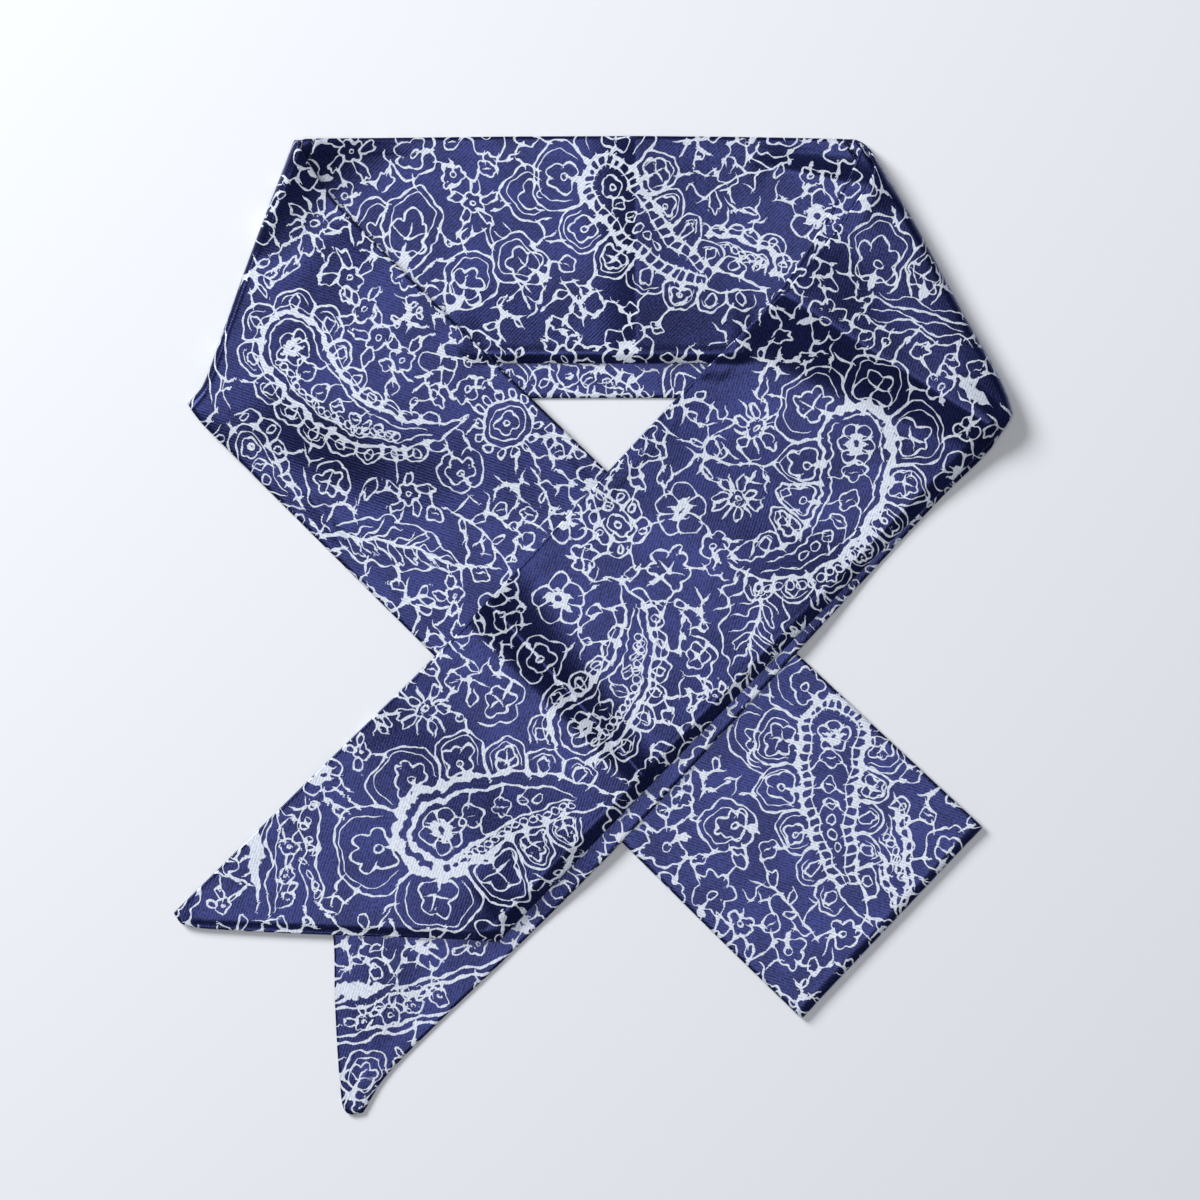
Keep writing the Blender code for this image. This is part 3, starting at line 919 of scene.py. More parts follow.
class Drop:
    """The line round a paisley drop or a leaf, from its tip round its head and back."""

    def __init__(self, head, radius, heading, length, turn=0.0, leaf=False):
        shares = np.linspace(0.0, 1.0, 81)
        ways = np.radians(heading + turn * shares**1.3)
        steps = np.column_stack((np.cos(ways), np.sin(ways))) * (length / 80.0)
        self.ways = ways
        self.line = head + np.concatenate((np.zeros((1, 2)), np.cumsum(steps, axis=0)[:-1]))
        self.shares = shares
        self.span = length
        self.head = radius
        self.leaf = leaf
        side = np.column_stack((-np.sin(ways), np.cos(ways)))
        reach = self.radius(shares)[:, None]
        left, right = self.line + side * reach, self.line - side * reach
        back = np.linspace(math.pi / 2.0, 1.5 * math.pi, 25)[1:-1] + ways[0]
        round_head = np.column_stack((np.cos(back), np.sin(back))) * radius + self.line[0]
        self.outline = np.concatenate((left[::-1], round_head, right))
        self.rooms = np.concatenate((reach[::-1, 0], np.full(len(back), radius), reach[:, 0]))
        ahead = np.gradient(self.outline, axis=0)
        ahead /= np.maximum(np.linalg.norm(ahead, axis=1), 1e-9)[:, None]
        self.normals = np.column_stack((ahead[:, 1], -ahead[:, 0]))
        if np.dot(self.normals[len(left) + 10], round_head[10] - self.line[0]) < 0.0:
            self.normals = -self.normals
        self.reach = reach_of(self.outline)
        self.length = self.reach[-1]

    def radius(self, share):
        """Half the width of the drop at a share of its spine."""
        share = np.clip(share, 0.0, 1.0)
        if self.leaf:
            return self.head * np.sin(math.pi * share ** 0.8) ** 0.8
        return self.head * (1.0 - share ** 1.25) ** 0.8

    def at(self, distance, offset):
        """A point on the outline at this distance round it, moved outwards."""
        normal = read(self.normals, self.reach, distance)
        normal /= max(math.hypot(*normal), 1e-9)
        return read(self.outline, self.reach, distance) + normal * offset

    def way(self, distance):
        """The direction straight outwards at this distance round the outline."""
        return math.atan2(*read(self.normals, self.reach, distance)[::-1])

    def room(self, distance):
        """Half the width of the drop at this distance round the outline."""
        return float(np.interp(distance, self.reach, self.rooms))

    def heading(self, share):
        """The direction of the spine at a share of it."""
        return float(np.interp(share, self.shares, self.ways))

    def spine(self, share):
        """A point on the middle line, from the head or foot at 0 to the tip at 1."""
        return self.beside(share, 0.0)

    def beside(self, share, offset):
        """A point beside the spine, that far to its left; it may lie past the spine's ends."""
        at = min(max(share, 0.0), 1.0)
        point = read(self.line, self.shares, at)
        return place(point, self.heading(at), (share - at) * self.span, offset)


class Ink:
    """For each face of a grid, how its corners lie to the nearest strokes of a print.

    A value is the distance to a stroke's middle line over its half-width, with a sign for the side,
    so that the stroke is where it is between -1 and 1. A face keeps its nearest strokes.
    """

    CHANNELS = 4                # strokes that a face keeps
    BIN = 2.6                   # size of the squares in which strokes are looked up
    FAR = 9.0                   # the value where there is no stroke
    THINNEST = 0.1              # no half-width counts as less

    def __init__(self, drawing):
        lines, halves = zip(*drawing.strokes)
        self.start = np.concatenate([line[:-1] for line in lines])
        self.end = np.concatenate([line[1:] for line in lines])
        self.half_start = np.concatenate([half[:-1] for half in halves])
        self.half_end = np.concatenate([half[1:] for half in halves])
        self.stroke = np.repeat(np.arange(len(lines)), [len(line) - 1 for line in lines])

    def segment(self, index, points):
        """How points lie to segments of strokes: distance, side, and half-width there."""
        start, way = self.start[index], self.end[index] - self.start[index]
        span = np.maximum((way**2).sum(-1), 1e-9)
        offset = points - start
        share = np.clip((offset * way).sum(-1) / span, 0.0, 1.0)
        distance = np.hypot(*(offset - way * share[:, None]).T)
        side = np.where(way[:, 0] * offset[:, 1] - way[:, 1] * offset[:, 0] < 0.0, -1.0, 1.0)
        half = self.half_start[index] * (1.0 - share) + self.half_end[index] * share
        return distance, side, half

    def pairs(self, centres):
        """Faces and the segments about them, as two arrays of numbers that match."""
        middles = (self.start + self.end) / 2.0
        low = np.minimum(centres.min(axis=0), middles.min(axis=0)) - 3.0 * self.BIN
        width = int((max(centres[:, 0].max(), middles[:, 0].max()) - low[0]) / self.BIN) + 4

        def bins(points):
            cells = ((points - low) / self.BIN).astype(int)
            return cells[:, 1] * width + cells[:, 0]

        face_bins = bins(centres)
        face_order = np.argsort(face_bins, kind="stable")
        sorted_bins = face_bins[face_order]
        faces, pieces = [], []
        for dy in (-1, 0, 1):
            for dx in (-1, 0, 1):
                wanted = bins(middles) + dy * width + dx
                first = np.searchsorted(sorted_bins, wanted, "left")
                count = np.searchsorted(sorted_bins, wanted, "right") - first
                piece = np.repeat(np.arange(len(wanted)), count)
                start = np.repeat(first - np.concatenate(([0], np.cumsum(count)[:-1])), count)
                faces.append(face_order[start + np.arange(len(piece))])
                pieces.append(piece)
        return np.concatenate(faces), np.concatenate(pieces)

    def nearest(self, centres, cell):
        """The strokes that reach each face, the nearest first.

        Returns three arrays that match: faces, segments and their rank on the face.
        """
        faces, pieces = self.pairs(centres)
        distance, _, half = self.segment(pieces, centres[faces])
        gap, strokes = distance - half, self.stroke[pieces]
        kept = np.flatnonzero(gap < 0.75 * cell + 0.25)
        # Each stroke counts once on a face, by its nearest segment
        kept = kept[np.lexsort((gap[kept], strokes[kept], faces[kept]))]
        kept = kept[changes(faces[kept] * (strokes.max() + 1) + strokes[kept])]
        kept = kept[np.lexsort((gap[kept], faces[kept]))]
        starts = np.flatnonzero(changes(faces[kept]))
        rank = np.arange(len(kept)) - np.repeat(starts, np.diff([*starts, len(kept)]))
        kept, rank = kept[rank < self.CHANNELS], rank[rank < self.CHANNELS]
        return faces[kept], pieces[kept], rank

    def on_faces(self, corners, cell):
        """corners is faces x 4 x 2, and cell their size. Returns faces x 4 x CHANNELS."""
        faces, pieces, rank = self.nearest(corners.mean(axis=1), cell)
        values = np.full((len(corners), 4, self.CHANNELS), self.FAR)
        for corner in range(4):
            # A corner may lie nearer to a segment just before or after the one nearest the face
            best = None
            for shift in (0, -2, -1, 1, 2):
                index = np.clip(pieces + shift, 0, len(self.stroke) - 1)
                distance, side, half = self.segment(index, corners[faces, corner])
                distance = np.where(self.stroke[index] == self.stroke[pieces], distance, 1e9)
                found = (distance, side, half)
                if best is None:
                    best = found
                    continue
                closer = distance < best[0] - 1e-6
                best = [np.where(closer, new, old) for new, old in zip(found, best)]
            values[faces, corner, rank] = best[0] * best[1] / np.maximum(best[2], self.THINNEST)
        return np.clip(values, -self.FAR, self.FAR)


def changes(values):
    """True wherever a value differs from the one before it."""
    return np.concatenate(([True], values[1:] != values[:-1]))


REVERSE_SEED = 500              # what the print of a lower ply adds to the seed of the upper one

# Figures of each stretch's print: where the head or the foot is, its radius, which way it heads
# there, its length, how far it turns on its way to the tip, and its style. A bloom has its number of
# leaves in place of a length. What a row leaves out at its end is 0, or is not used by its kind.
# reverse is the print of all the lower plies.
FIGURES = {
    "tail_right_top": (
        # kind   x      y      radius heading length turn  style
        ("boteh", -46.0, -63.0, 12.5, 28.0, 54.0, -42.0, "thick"),
        ("boteh", 80.4, 56.0, 10.5, -88.0, 66.0, -118.0, "plume"),
        ("boteh", -3.0, -32.0, 9.5, 38.0, 52.0, 88.0, "lines"),
        ("leaf", 53.7, 13.0, 9.5, -110.0, 36.0, 24.0),
        ("boteh", 8.5, 30.0, 4.6, 120.0, 15.0, 30.0, "small"),
        ("waves", 82.0, 97.0, 5.0, -12.0, 36.0, -8.0),
        ("arch", 85.0, 100.0, 8.5, 80.0, 24.0),
        ("arch", 99.0, 98.0, 6.0, 70.0, 19.0),
        ("arch", 84.0, 126.0, 7.0, 118.0, 16.0),
        ("patch", 111.0, 75.0, 2.6, -40.0, 13.0),
        ("patch", -102.5, -59.0, 3.0, -90.0, 25.0, 4.0),
        ("waves", -97.0, -56.0, 2.6, -94.0, 32.0, 6.0),
        ("waves", -85.5, -50.0, 2.5, -90.0, 40.0, 5.0, "beaded"),
        ("bloom", -92.0, -68.0, 2.3, 10.0, 2),
        ("bloom", -92.5, -76.0, 2.3, 50.0, 3),
        ("bloom", -93.0, -84.0, 2.2, 30.0, 2),
        ("bloom", -112.0, -85.0, 2.3, 0.0, 3),
        ("burst", 50.0, 60.0, 8.0, 20.0),
        ("bare", 40.0, 74.0, 5.5),
        ("bare", -16.0, 20.0, 5.0),
        ("bare", -58.0, -38.0, 4.0),
        ("burst", 44.0, 38.0, 7.0, 60.0),
        ("twig", 66.0, 12.0, 6.0, -30.0, 34.0, -70.0),
        ("twig", -20.0, 0.0, 6.0, 200.0, 30.0, -40.0),
        ("burst", -50.0, -26.0, 8.0),
        ("twig", -12.0, -78.0, 5.0, 150.0, 26.0, 30.0),
    ),
    "tail_right_under": (
        ("patch", -84.0, -112.5, 3.4, 6.0, 24.0),
        ("waves", -82.0, -117.5, 1.3, 15.0, 64.0, 0.0, "bold"),
        ("bloom", -35.0, -97.5, 2.7, 20.0, 3),
        ("bloom", -69.0, -120.5, 2.5, 0.0, 3),
        ("bloom", -61.5, -118.5, 2.5, 40.0, 2),
        ("bloom", -54.0, -115.5, 2.5, 10.0, 3),
        ("bloom", -46.5, -113.5, 2.5, 50.0, 2),
        ("waves", -82.0, -128.0, 1.3, 14.0, 50.0, 0.0, "bold"),
        ("arch", -74.0, -143.0, 6.0, 52.0, 16.0),
        ("bloom", -70.0, -146.0, 2.4, 0.0, 2),
    ),
    "tail_left_top": (
        ("boteh", -91.0, 85.0, 9.5, -65.0, 66.0, 100.0, "lines"),
        ("bare", -110.0, 84.0, 6.0),
        ("bloom", -73.0, 105.0, 3.4, 0.0, 4),
        ("bloom", -68.6, 95.6, 3.3, 30.0, 3),
        ("bloom", -64.6, 87.0, 3.3, 60.0, 3),
        ("bloom", -57.0, 80.6, 3.2, 20.0, 3),
        ("rings", -25.7, 61.0, 7.4),
        ("leaf", -78.0, 27.0, 7.5, -4.0, 40.0, -24.0),
        ("waves", -111.0, 106.0, 3.0, -97.0, 42.0, 12.0),
        ("boteh", -104.0, 54.0, 6.5, -65.0, 26.0, 40.0, "plain"),
        ("burst", -84.0, 122.0, 9.0),
        ("twig", -44.0, 36.0, 6.0, -30.0, 34.0, -50.0),
        ("twig", -16.0, 45.0, 5.0, -70.0, 24.0, -20.0),
        ("boteh", 73.7, -32.7, 10.3, -98.0, 61.0, 44.0, "ladder"),
        ("boteh", 88.0, -58.0, 4.6, -70.0, 32.0, -24.0, "lines"),
        ("twig", 68.0, -95.0, 6.0, 120.0, 26.0, 40.0),
        ("arch", 56.0, -44.0, 8.0, 118.0, 21.0),
        ("arch", 50.0, -62.0, 7.0, 175.0, 17.0),
    ),
    "tail_left_under": (),
    "band_top": (
        ("boteh", 5.3, 134.0, 8.5, -60.0, 60.0, 62.0, "ladder"),
        ("boteh", 50.7, 109.0, 5.5, 150.0, 27.0, 20.0, "lines"),
        ("arch", -8.0, 130.0, 7.4, 176.0, 19.0),
        ("bare", 28.0, 92.0, 5.0),
        ("arch", -58.0, 108.0, 7.8, 76.0, 25.0),
        ("arch", -60.0, 109.0, 7.4, 112.0, 21.0),
        ("arch", -42.0, 96.0, 7.0, 60.0, 19.0),
        ("arch", -14.0, 106.0, 6.6, 150.0, 18.0),
        ("waves", -30.0, 122.0, 4.0, -62.0, 26.0, 14.0),
        ("twig", 60.0, 140.0, 6.0, 190.0, 30.0, 30.0),
        ("burst", 70.0, 96.0, 8.0),
    ),
    "band_under": (
        ("arch", -38.0, 64.0, 6.2, 82.0, 16.0),
        ("arch", -24.0, 64.0, 6.6, 96.0, 18.0),
        ("boteh", -8.0, 76.0, 5.0, -10.0, 30.0, -30.0, "small"),
        ("arch", 28.0, 64.0, 6.4, 86.0, 17.0),
        ("arch", 42.0, 65.0, 6.2, 94.0, 17.0),
    ),
    "reverse": (
        ("boteh", -60.0, -40.0, 11.0, 20.0, 52.0, 70.0, "thick"),
        ("boteh", 60.0, 40.0, 11.0, 200.0, 52.0, 60.0, "ladder"),
        ("leaf", 0.0, -10.0, 8.0, 45.0, 40.0, 30.0),
        ("boteh", 50.0, -70.0, 9.5, 90.0, 44.0, -60.0, "lines"),
        ("boteh", -60.0, 100.0, 10.0, -20.0, 46.0, 50.0, "thick"),
        ("boteh", 40.0, 110.0, 10.0, -60.0, 46.0, -50.0, "ladder"),
        ("leaf", -10.0, 120.0, 8.0, -30.0, 36.0, -30.0),
        ("burst", -20.0, 40.0, 9.0),
        ("burst", 90.0, -50.0, 9.0),
    ),
}



def lookup(points):
    """Finds the nearest of points in the plan."""
    tree = KDTree(len(points))
    for index, point in enumerate(points):
        tree.insert((*point, 0.0), index)
    tree.balance()
    return tree


def draw_print(figures, places, seed):
    """The strokes of a print over these places of the plan."""
    # Every third point is enough to tell where the ply lies
    points = places[::3, ::3].reshape(-1, 2)
    drawing = Print(seed, lookup(points))
    for kind, x, y, *row in figures:
        getattr(drawing, kind)(np.array((x, y)), *row)
        drawing.settle()
    drawing.shields = np.zeros((0, 3))
    drawing.fill(points.min(axis=0), points.max(axis=0))
    drawing.warp()
    return drawing


# ---------------------------------------------------------------- meshes

def unrolled(rows, run_first, run_last, way):
    """The place of each point in the plan, with turned rows laid out straight along the strip."""
    plan = rows[:, :, :2].copy()
    for index in range(run_first - 1, -1, -1):
        step = np.linalg.norm(rows[index + 1] - rows[index], axis=1)
        plan[index] = plan[index + 1] - way * step[:, None]
    for index in range(run_last + 1, len(rows)):
        step = np.linalg.norm(rows[index] - rows[index - 1], axis=1)
        plan[index] = plan[index - 1] + way * step[:, None]
    return plan


def corners_of(grid, flip):
    """The four corner values of each face of a grid of points, as faces x 4 x whatever."""
    corners = [grid[:-1, :-1], grid[:-1, 1:], grid[1:, 1:], grid[1:, :-1]]
    corners = np.stack(corners[::-1] if flip else corners, axis=2)
    return corners.reshape(-1, 4, *grid.shape[2:])


class Ply:
    """One side of a stretch: its points, their places in the plan, and the stations it keeps.

    A coarse ply keeps every other row and column, apart from those at its rims. Its points are
    numbered from first, and bake gives where its part of the baked picture starts and ends.
    """

    def __init__(self, grid, places, coarse, first, bake):
        height, width = grid.shape[:2]
        step = 2 if coarse else 1
        self.rows = np.unique([0, 1, height - 2, height - 1, *range(1, height - 1, step)])
        self.columns = np.unique([0, 1, width - 2, width - 1, *range(2, width - 2, step)])
        kept = np.ix_(self.rows, self.columns)
        self.grid = grid[kept]
        self.places = places[kept]
        # The size of its faces, read off one of them well inside its rims
        self.cell = float(np.linalg.norm(self.grid[5, 5] - self.grid[5, 6]))
        self.number = first + np.arange(self.grid[:, :, 0].size).reshape(self.grid.shape[:2])
        shares = np.meshgrid(self.rows / (height - 1.0), self.columns / (width - 1.0), indexing="ij")
        self.shares = np.stack(shares, axis=-1) * (1.0, bake[1] - bake[0]) + (0.0, bake[0])

    def side(self, axis, end):
        """The stations along one side, and its points, each as this ply and an index."""
        stations = self.rows if axis else self.columns
        return stations, [(self, (k, end) if axis else (end, k)) for k in range(len(stations))]


def rounded_ends(rows):
    """The rows with another one at each end, and how thick each is: the new ones are thinner."""
    half = WALL / 2.0
    first, last = unit(rows[0] - rows[1]), unit(rows[-1] - rows[-2])
    rows[0] -= first * half * END_INSET
    rows[-1] -= last * half * END_INSET
    before, after = rows[0] + first * half * END_REACH, rows[-1] + last * half * END_REACH
    rows = np.concatenate(([before], rows, [after]))
    thickness = np.ones(len(rows))
    thickness[0] = thickness[-1] = END_THICKNESS
    return rows, thickness


def make_plies(rows, run_first, run_last, way, coarse):
    """The top and the bottom ply of the stretch whose middle surface has these rows."""
    rows, thickness = rounded_ends(np.array(rows))
    across = np.gradient(rows, axis=1)
    normals = unit(np.cross(np.gradient(rows, axis=0), across))
    # They point up in the flat run
    if normals[len(rows) // 2, 5, 2] < 0.0:
        normals = -normals
    across = unit(across)

    # How thick the strip is: more at the seam allowances along its edges
    count = rows.shape[1]
    from_edge = np.minimum(np.arange(count), np.arange(count)[::-1]) * STRIP_WIDTH / count
    puff = WALL / 2.0 + SEAM_PUFF * smooth((SEAM_WIDTH - from_edge) / SEAM_STEP + 0.5)
    halves = puff[None, :] * thickness[:, None]

    # Each ply as a grid, with two more columns at each edge, which round it
    plan = unrolled(rows, run_first + 1, run_last + 1, np.array(way) / np.linalg.norm(way))
    sideways = unit(plan[:, -1] - plan[:, 0])
    columns = [(k, 0.0, 90) for k in range(count)]
    for angle in EDGE_ANGLES[::-1]:
        columns = [(0, -1.0, angle), *columns, (-1, 1.0, angle)]
    plies = []
    for title, side, bake in (("top", 1.0, (0.01, 0.49)), ("bottom", -1.0, (0.99, 0.51))):
        grid = np.zeros((len(rows), len(columns), 3))
        places = np.zeros((len(rows), len(columns), 2))
        for index, (column, out, angle) in enumerate(columns):
            lift, reach = math.sin(math.radians(angle)), math.cos(math.radians(angle))
            size = halves[:, column, None]
            grid[:, index] = rows[:, column] + size * (
                side * lift * normals[:, column] + out * reach * across[:, column]
            )
            beyond = out * (90 - angle) / 90.0 * size * math.pi / 2.0
            places[:, index] = plan[:, column] + beyond * sideways
        grid[:, :, 2] = np.maximum(grid[:, :, 2], 0.0)
        first = plies[0].number.size if plies else 0
        plies.append(Ply(grid, places, coarse == title, first, bake))
    return plies


def add_object(name, data):
    """A new object in the scene."""
    added = bpy.data.objects.new(name, data)
    bpy.context.scene.collection.objects.link(added)
    return added


def rim_faces(fine, other):
    """Faces all round between two plies, each spanning one edge of the other, coarser ply.

    A face is a list of its corners, each as a ply and an index.
    """
    rim = []
    for end, axis in ((0, 0), (-1, 0), (0, 1), (-1, 1)):
        fine_stations, fine_spots = fine.side(axis, end)
        stations, spots = other.side(axis, end)
        faces = []
        for k in range(len(stations) - 1):
            low, high = np.searchsorted(fine_stations, (stations[k], stations[k + 1]))
            faces.append(fine_spots[low:high + 1] + [spots[k + 1], spots[k]])
        sample = faces[len(faces) // 2]
        points = [ply.grid[at] for ply, at in sample]
        row, column = sample[0][1]
        inside = 1 if end == 0 else -2
        behind = fine.grid[(row, inside) if axis else (inside, column)]
        normal = np.cross(points[1] - points[0], points[-1] - points[0])
        inwards = np.dot(normal, points[0] - behind) < 0.0
        rim += [face[::-1] for face in faces] if inwards else faces
    return rim


def make_piece(name, rows, run_first, run_last, way, material, coarse):
    """One stretch as a closed skin, with the print's strokes on its corners.

    The flat run goes from row run_first to row run_last, heading along way. coarse says which ply
    has larger faces, because it is hidden.
    """
    top, bottom = plies = make_plies(rows, run_first, run_last, way, coarse)
    # The top ply's faces look up in the flat run, and the bottom ply's look down
    middle = len(top.grid) // 2
    edges = top.grid[middle, 6] - top.grid[middle, 5], top.grid[middle + 1, 5] - top.grid[middle, 5]
    flip = bool(np.cross(*edges)[2] < 0.0)
    faces = [corners_of(top.number, flip), corners_of(bottom.number, not flip)]
    rim = rim_faces(bottom, top) if coarse == "top" else rim_faces(top, bottom)
    rim = [[int(ply.number[at]) for ply, at in face] for face in rim]

    mesh = bpy.data.meshes.new(name)
    points = np.concatenate([ply.grid.reshape(-1, 3) for ply in plies])
    mesh.from_pydata(
        ((points - (*CENTRE, 0.0)) * MM).tolist(), [], faces[0].tolist() + faces[1].tolist() + rim,
    )
    mesh.materials.append(material)
    mesh.shade_smooth()

    corners = np.concatenate([*faces[0], *faces[1], *rim])
    places = np.concatenate([ply.places.reshape(-1, 2) for ply in plies])
    shares = np.concatenate([ply.shares.reshape(-1, 2) for ply in plies])
    seed = sum(ord(letter) for letter in name)
    prints = ((FIGURES[name], seed), (FIGURES["reverse"], seed + REVERSE_SEED))
    ink = []
    for ply, ply_faces, (figures, ply_seed) in zip(plies, faces, prints):
        drawing = draw_print(figures, ply.places, ply_seed)
        ink.append(Ink(drawing).on_faces(places[ply_faces], ply.cell).reshape(-1, Ink.CHANNELS))
    bare_rim = np.full((sum(len(face) for face in rim), Ink.CHANNELS), Ink.FAR)
    ink = np.concatenate((*ink, bare_rim))
    layers = {
        "strip": places[corners],
        "ink_a": ink[:, :2],
        "ink_b": ink[:, 2:],
        "OFBake": shares[corners],
    }
    for title, values in layers.items():
        layer = mesh.uv_layers.new(name=title)
        layer.uv.foreach_set("vector", values.astype(np.float32).ravel())

    # The ply of cloth lies inwards of the skin
    piece = add_object(name + "_satin", mesh)
    ply = piece.modifiers.new("ply", "SOLIDIFY")
    ply.thickness = PLY * MM
    ply.offset = -1.0
    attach(piece, "root")
    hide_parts(name)


# ---------------------------------------------------------------- material

class Nodes:
    """Short names for the nodes of one material."""

    def __init__(self, material):
        self.tree = material.node_tree

    def add(self, kind, inputs=(), **settings):
        """A node with these settings and inputs; a colour is a tuple, a link is a socket."""
        node = self.tree.nodes.new(kind)
        for key, value in settings.items():
            setattr(node, key, value)
        for name, value in dict(inputs).items():
            self.link(value, node.inputs[name])
        return node

    def link(self, source, socket):
        if isinstance(source, bpy.types.NodeSocket):
            self.tree.links.new(source, socket)
        else:
            socket.default_value = source

    def math(self, operation, *values):
        return self.add("ShaderNodeMath", enumerate(values), operation=operation).outputs[0]

    def range(self, *values, kind="SMOOTHSTEP"):
        """value, low, high, and what low and high turn into if not 0 and 1."""
        return self.add("ShaderNodeMapRange", enumerate(values), interpolation_type=kind).outputs[0]

    def split(self, vector):
        return self.add("ShaderNodeSeparateXYZ", {0: vector}).outputs

    def noise(self, vector, size, detail=2.0):
        inputs = {"Vector": vector, "Scale": 1.0 / size, "Detail": detail}
        return self.add("ShaderNodeTexNoise", inputs, noise_dimensions="2D").outputs["Fac"]

    def mix(self, share, low, high):
        return self.add("ShaderNodeMix", {"Factor": share, 6: low, 7: high}, data_type="RGBA").outputs[2]


# Colours, each in the valleys of the twill and on its ridges: the darker one in the valleys is painted
# shade and the lighter one on the ridges is a painted sheen, so each pair is a shaded and a lit copy of
# the same blue ground or white ink
GROUND_SHADE_AND_TONE, GROUND_SHEEN_AND_TONE = (0.0038, 0.0054, 0.0250, 1.0), (0.0158, 0.0212, 0.0930, 1.0)
INK_SHADE_AND_TONE, INK_SHEEN_AND_TONE = (0.44, 0.48, 0.58, 1.0), (0.69, 0.73, 0.81, 1.0)

# How far strokes run together where they meet, how far their edges wander, and where an edge fades
# out and is full, all in half-widths of a stroke
MERGE = 2.6
WANDER = 0.42
FADE_OUT, FULL = 1.05, 0.83

TWILL_PITCH = 0.85
TWILL_HEIGHT = 0.08

# Roughness and metallic share, each of the ground and of the ink on it
ROUGHNESS = (0.27, 0.38)
METALLIC = (0.5, 0.12)
SATIN = {
    "IOR": 1.4,
    "Specular IOR Level": 0.16,
    "Sheen Weight": 0.6,
    "Sheen Roughness": 0.3,
    "Sheen Tint": (0.30, 0.38, 1.0, 1.0),
}


def satin(name, twill_angle):
    """Printed satin: white strokes on the blue ground, with a fine twill and uneven edges."""
    material = bpy.data.materials.new(name)
    material.use_nodes = True
    shader = material.node_tree.nodes["Principled BSDF"]
    n = Nodes(material)
    strip = n.add("ShaderNodeUVMap", uv_map="strip").outputs[0]
    nearest = None
    for title in ("ink_a", "ink_b"):
        pair = n.split(n.add("ShaderNodeUVMap", uv_map=title).outputs[0])
        for value in pair[:2]:
            value = n.math("ABSOLUTE", value)
            nearest = value if nearest is None else n.math("SMOOTH_MIN", nearest, value, MERGE)
    wander = n.range(n.noise(strip, 2.4, 0.8), 0.25, 0.75, -WANDER, WANDER, kind="LINEAR")
    white = n.range(n.math("ADD", nearest, wander), FADE_OUT, FULL)

    # The twill: slanted ridges of uneven strength, with some grain
    x, y, _ = n.split(strip)
    turn = math.radians(twill_angle)
    across = n.math("MULTIPLY_ADD", x, math.sin(turn), n.math("MULTIPLY", y, -math.cos(turn)))
    wale = n.math("SINE", n.math("MULTIPLY", across, math.tau / TWILL_PITCH))
    wale = n.math("MULTIPLY", wale, n.range(n.noise(strip, 1.1, 1.0), 0.3, 0.7, 0.3, 1.0))
    grain = n.range(n.noise(strip, 0.8, 1.0), 0.25, 0.75, -1.0, 1.0, kind="LINEAR")
    twill = n.math("MULTIPLY_ADD", grain, 0.7, wale)
    patches = n.range(n.noise(strip, 14.0), 0.3, 0.7, 0.35, 0.65)
    # Painted sheen and shade: the ground and the ink get lighter on the twill's ridges and darker in its
    # valleys; the grain and the large patches are random tone of the cloth
    ground = n.mix(n.math("MULTIPLY_ADD", twill, 0.5, patches), GROUND_SHADE_AND_TONE, GROUND_SHEEN_AND_TONE)
    ink = n.mix(n.math("MULTIPLY_ADD", twill, 0.5, 0.5), INK_SHADE_AND_TONE, INK_SHEEN_AND_TONE)

    n.link(n.mix(white, ground, ink), shader.inputs["Base Color"])
    n.link(n.range(white, 0.0, 1.0, *ROUGHNESS, kind="LINEAR"), shader.inputs["Roughness"])
    n.link(n.range(white, 0.0, 1.0, *METALLIC, kind="LINEAR"), shader.inputs["Metallic"])
    for title, value in SATIN.items():
        n.link(value, shader.inputs[title])
    relief = {"Strength": 0.12, "Distance": TWILL_HEIGHT * MM, "Height": twill}
    n.link(n.add("ShaderNodeBump", relief).outputs[0], shader.inputs["Normal"])
    return material


# ---------------------------------------------------------------- the scarf

def fold_above(fold, level):
    """The part of a fold line above this y, starting at a point on it."""
    rest = [point for point in fold if point[1] > level]
    below = fold[len(fold) - len(rest) - 1]
    part = (level - below[1]) / (rest[0][1] - below[1])
    return ((below[0] + part * (rest[0][0] - below[0]), level), *rest)


def make_stretch(name, plan, height, way, material, coarse, start, end):
    """Builds one stretch: its flat run, and the half-turn at its start and at its end, if any.

    start and end each say how far from its fold line the flat run stops. Where the stretch turns,
    they are a tuple of the line below, the height below, the inset and the bulge of the turn.
    """
    made = Rows(BOTH_CELL if coarse == "neither" else CELL)
    turns = []
    ends = []
    for above, fold in ((plan.from_start, start), (plan.from_end, end)):
        if isinstance(fold, tuple):
            below, lower, inset, bulge = fold
            turns.append(made.turn(above, below, height, lower, inset, bulge))
            ends.append(inset + bulge)
        else:
            turns.append([])
            ends.append(fold)
    run = made.run(plan, height, *ends)
    rows = turns[0] + run + turns[1][::-1]
    first = len(turns[0])
    make_piece(name, rows, first, first + len(run) - 1, way, material, coarse)


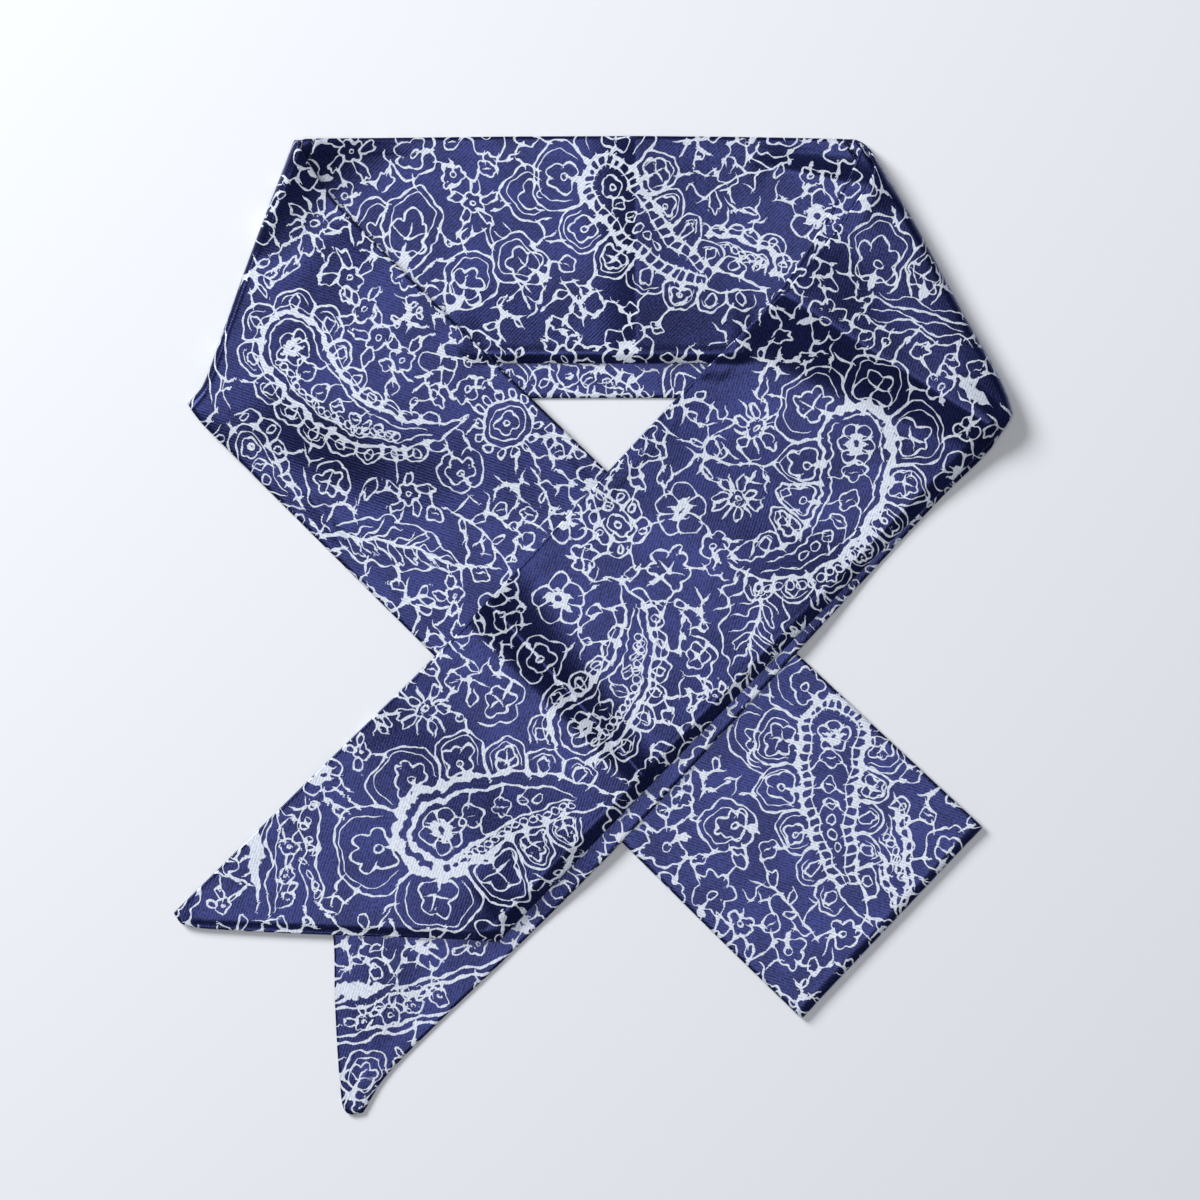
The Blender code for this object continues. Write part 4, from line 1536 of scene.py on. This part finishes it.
def build():
    """Builds the six stretches, each with its own length along the strip, in millimetres."""
    # The inset and the bulge of the half-turns, and where a seam under them ends
    outer = (WALL / 2.0, OUTER_BULGE)
    inner = (WALL / 2.0 + OUTER_BULGE - INNER_BULGE + GAP, INNER_BULGE)
    half = (WALL / 2.0, HALF_FOLD_BULGE)
    past_outer, past_inner, past_half = (sum(fold) + LAP + GAP for fold in (outer, inner, half))

    under_edge = (LEFT_FOLD[0], (-60.0, BAND_UNDER_EDGE), (60.0, BAND_UNDER_EDGE), RIGHT_FOLD[0])
    band = Strip(under_edge, BAND_UPPER_EDGE, LEFT_FOLD, RIGHT_FOLD)
    left_above, right_above = fold_above(LEFT_FOLD, BAND_TOP_EDGE), fold_above(RIGHT_FOLD, BAND_TOP_EDGE)
    band_top = Strip((left_above[0], right_above[0]), BAND_UPPER_EDGE, left_above, right_above)
    left_tail = Strip(LEFT_OUTER, LEFT_INNER, LEFT_FOLD, HALF_FOLD)
    right_top = Strip(RIGHT_TOP_OUTER, RIGHT_TOP_INNER, RIGHT_TOP_FOLD, RIGHT_TOP_END)
    right_under = Strip(RIGHT_UNDER_OUTER, RIGHT_UNDER_INNER, RIGHT_FOLD, RIGHT_UNDER_END)

    band_satin = satin("printed_satin_band", 45.0)
    left_satin = satin("printed_satin_left", -18.0)
    right_satin = satin("printed_satin_right", 72.0)

    make_stretch("band_under", band, band_under_height, (1.0, 0.0), band_satin, "top",
                 past_outer, past_outer)
    make_stretch("band_top", band_top, band_top_height, (1.0, 0.0), band_satin, "bottom",
                 past_inner, past_inner)
    make_stretch("tail_left_under", left_tail, left_under_height, (1.0, -1.0), left_satin, "top",
                 (band.from_start, band_top_height, *inner), past_half)
    make_stretch("tail_left_top", left_tail, left_top_height, (1.0, -1.0), left_satin, "bottom",
                 (band.from_start, band_under_height, *outer),
                 (left_tail.from_end, left_under_height, *half))
    make_stretch("tail_right_under", right_under, right_under_height, (-1.0, -1.0), right_satin,
                 "neither", (band.from_end, band_top_height, *inner), 0.0)
    make_stretch("tail_right_top", right_top, right_top_height, (-1.0, -1.0), right_satin,
                 "bottom", (band.from_end, band_under_height, *outer), 0.0)


# ---------------------------------------------------------------- floor, light and camera

CAMERA_AIM = (2.13, 7.77)       # what the camera looks straight down at, in millimetres
CAMERA_HEIGHT = 3000.0
VIEW_WIDTH = 364.8              # and how wide a part of the floor it sees
SKY = (0.86, 0.9, 1.0, 1.0)
SKY_STRENGTH = 0.12
FLOOR_SIZE = 6.0                # in metres, as the lights are
FLOOR_HEIGHT = -0.0001
LIGHTS = (
    # name       x     y    z    size  power; all point at the scarf
    ("overhead", 0.0,  0.0, 4.5, 1.67, 60.0),
    ("key",      -1.2, 1.0, 1.1, 0.9,  40.0),
)


def make_floor():
    """A pale, dull floor just below the scarf."""
    bpy.ops.mesh.primitive_plane_add(size=FLOOR_SIZE, location=(0.0, 0.0, FLOOR_HEIGHT))
    floor = bpy.context.object
    floor.name = "floor"
    material = bpy.data.materials.new("floor")
    material.use_nodes = True
    shader = material.node_tree.nodes["Principled BSDF"]
    shader.inputs["Base Color"].default_value = (0.80, 0.82, 0.86, 1.0)
    shader.inputs["Roughness"].default_value = 0.9
    shader.inputs["Specular IOR Level"].default_value = 0.1
    floor.data.materials.append(material)


def make_lights():
    """Soft round lights that point at the scarf."""
    for name, x, y, z, size, power in LIGHTS:
        light = bpy.data.lights.new(name, "AREA")
        light.shape = "DISK"
        light.size = size
        light.energy = power
        lamp = add_object(name, light)
        lamp.location = (x, y, z)
        lamp.rotation_euler = (Vector() - Vector((x, y, z))).to_track_quat("-Z", "Y").to_euler()


def make_camera():
    """A camera straight above the scarf."""
    camera = bpy.data.cameras.new("camera")
    camera.sensor_width = 36.0
    camera.lens = camera.sensor_width * CAMERA_HEIGHT / VIEW_WIDTH
    camera.clip_start = 0.05
    camera.clip_end = 10.0
    view = add_object("camera", camera)
    view.location = (CAMERA_AIM[0] * MM, CAMERA_AIM[1] * MM, CAMERA_HEIGHT * MM)
    bpy.context.scene.camera = view


def make_world():
    """A weak, even light from all round."""
    world = bpy.data.worlds.new("studio")
    world.use_nodes = True
    background = world.node_tree.nodes["Background"]
    background.inputs[0].default_value = SKY
    background.inputs[1].default_value = SKY_STRENGTH
    bpy.context.scene.world = world
    bpy.context.scene.view_settings.view_transform = "Standard"


build()
make_floor()
make_lights()
make_camera()
make_world()
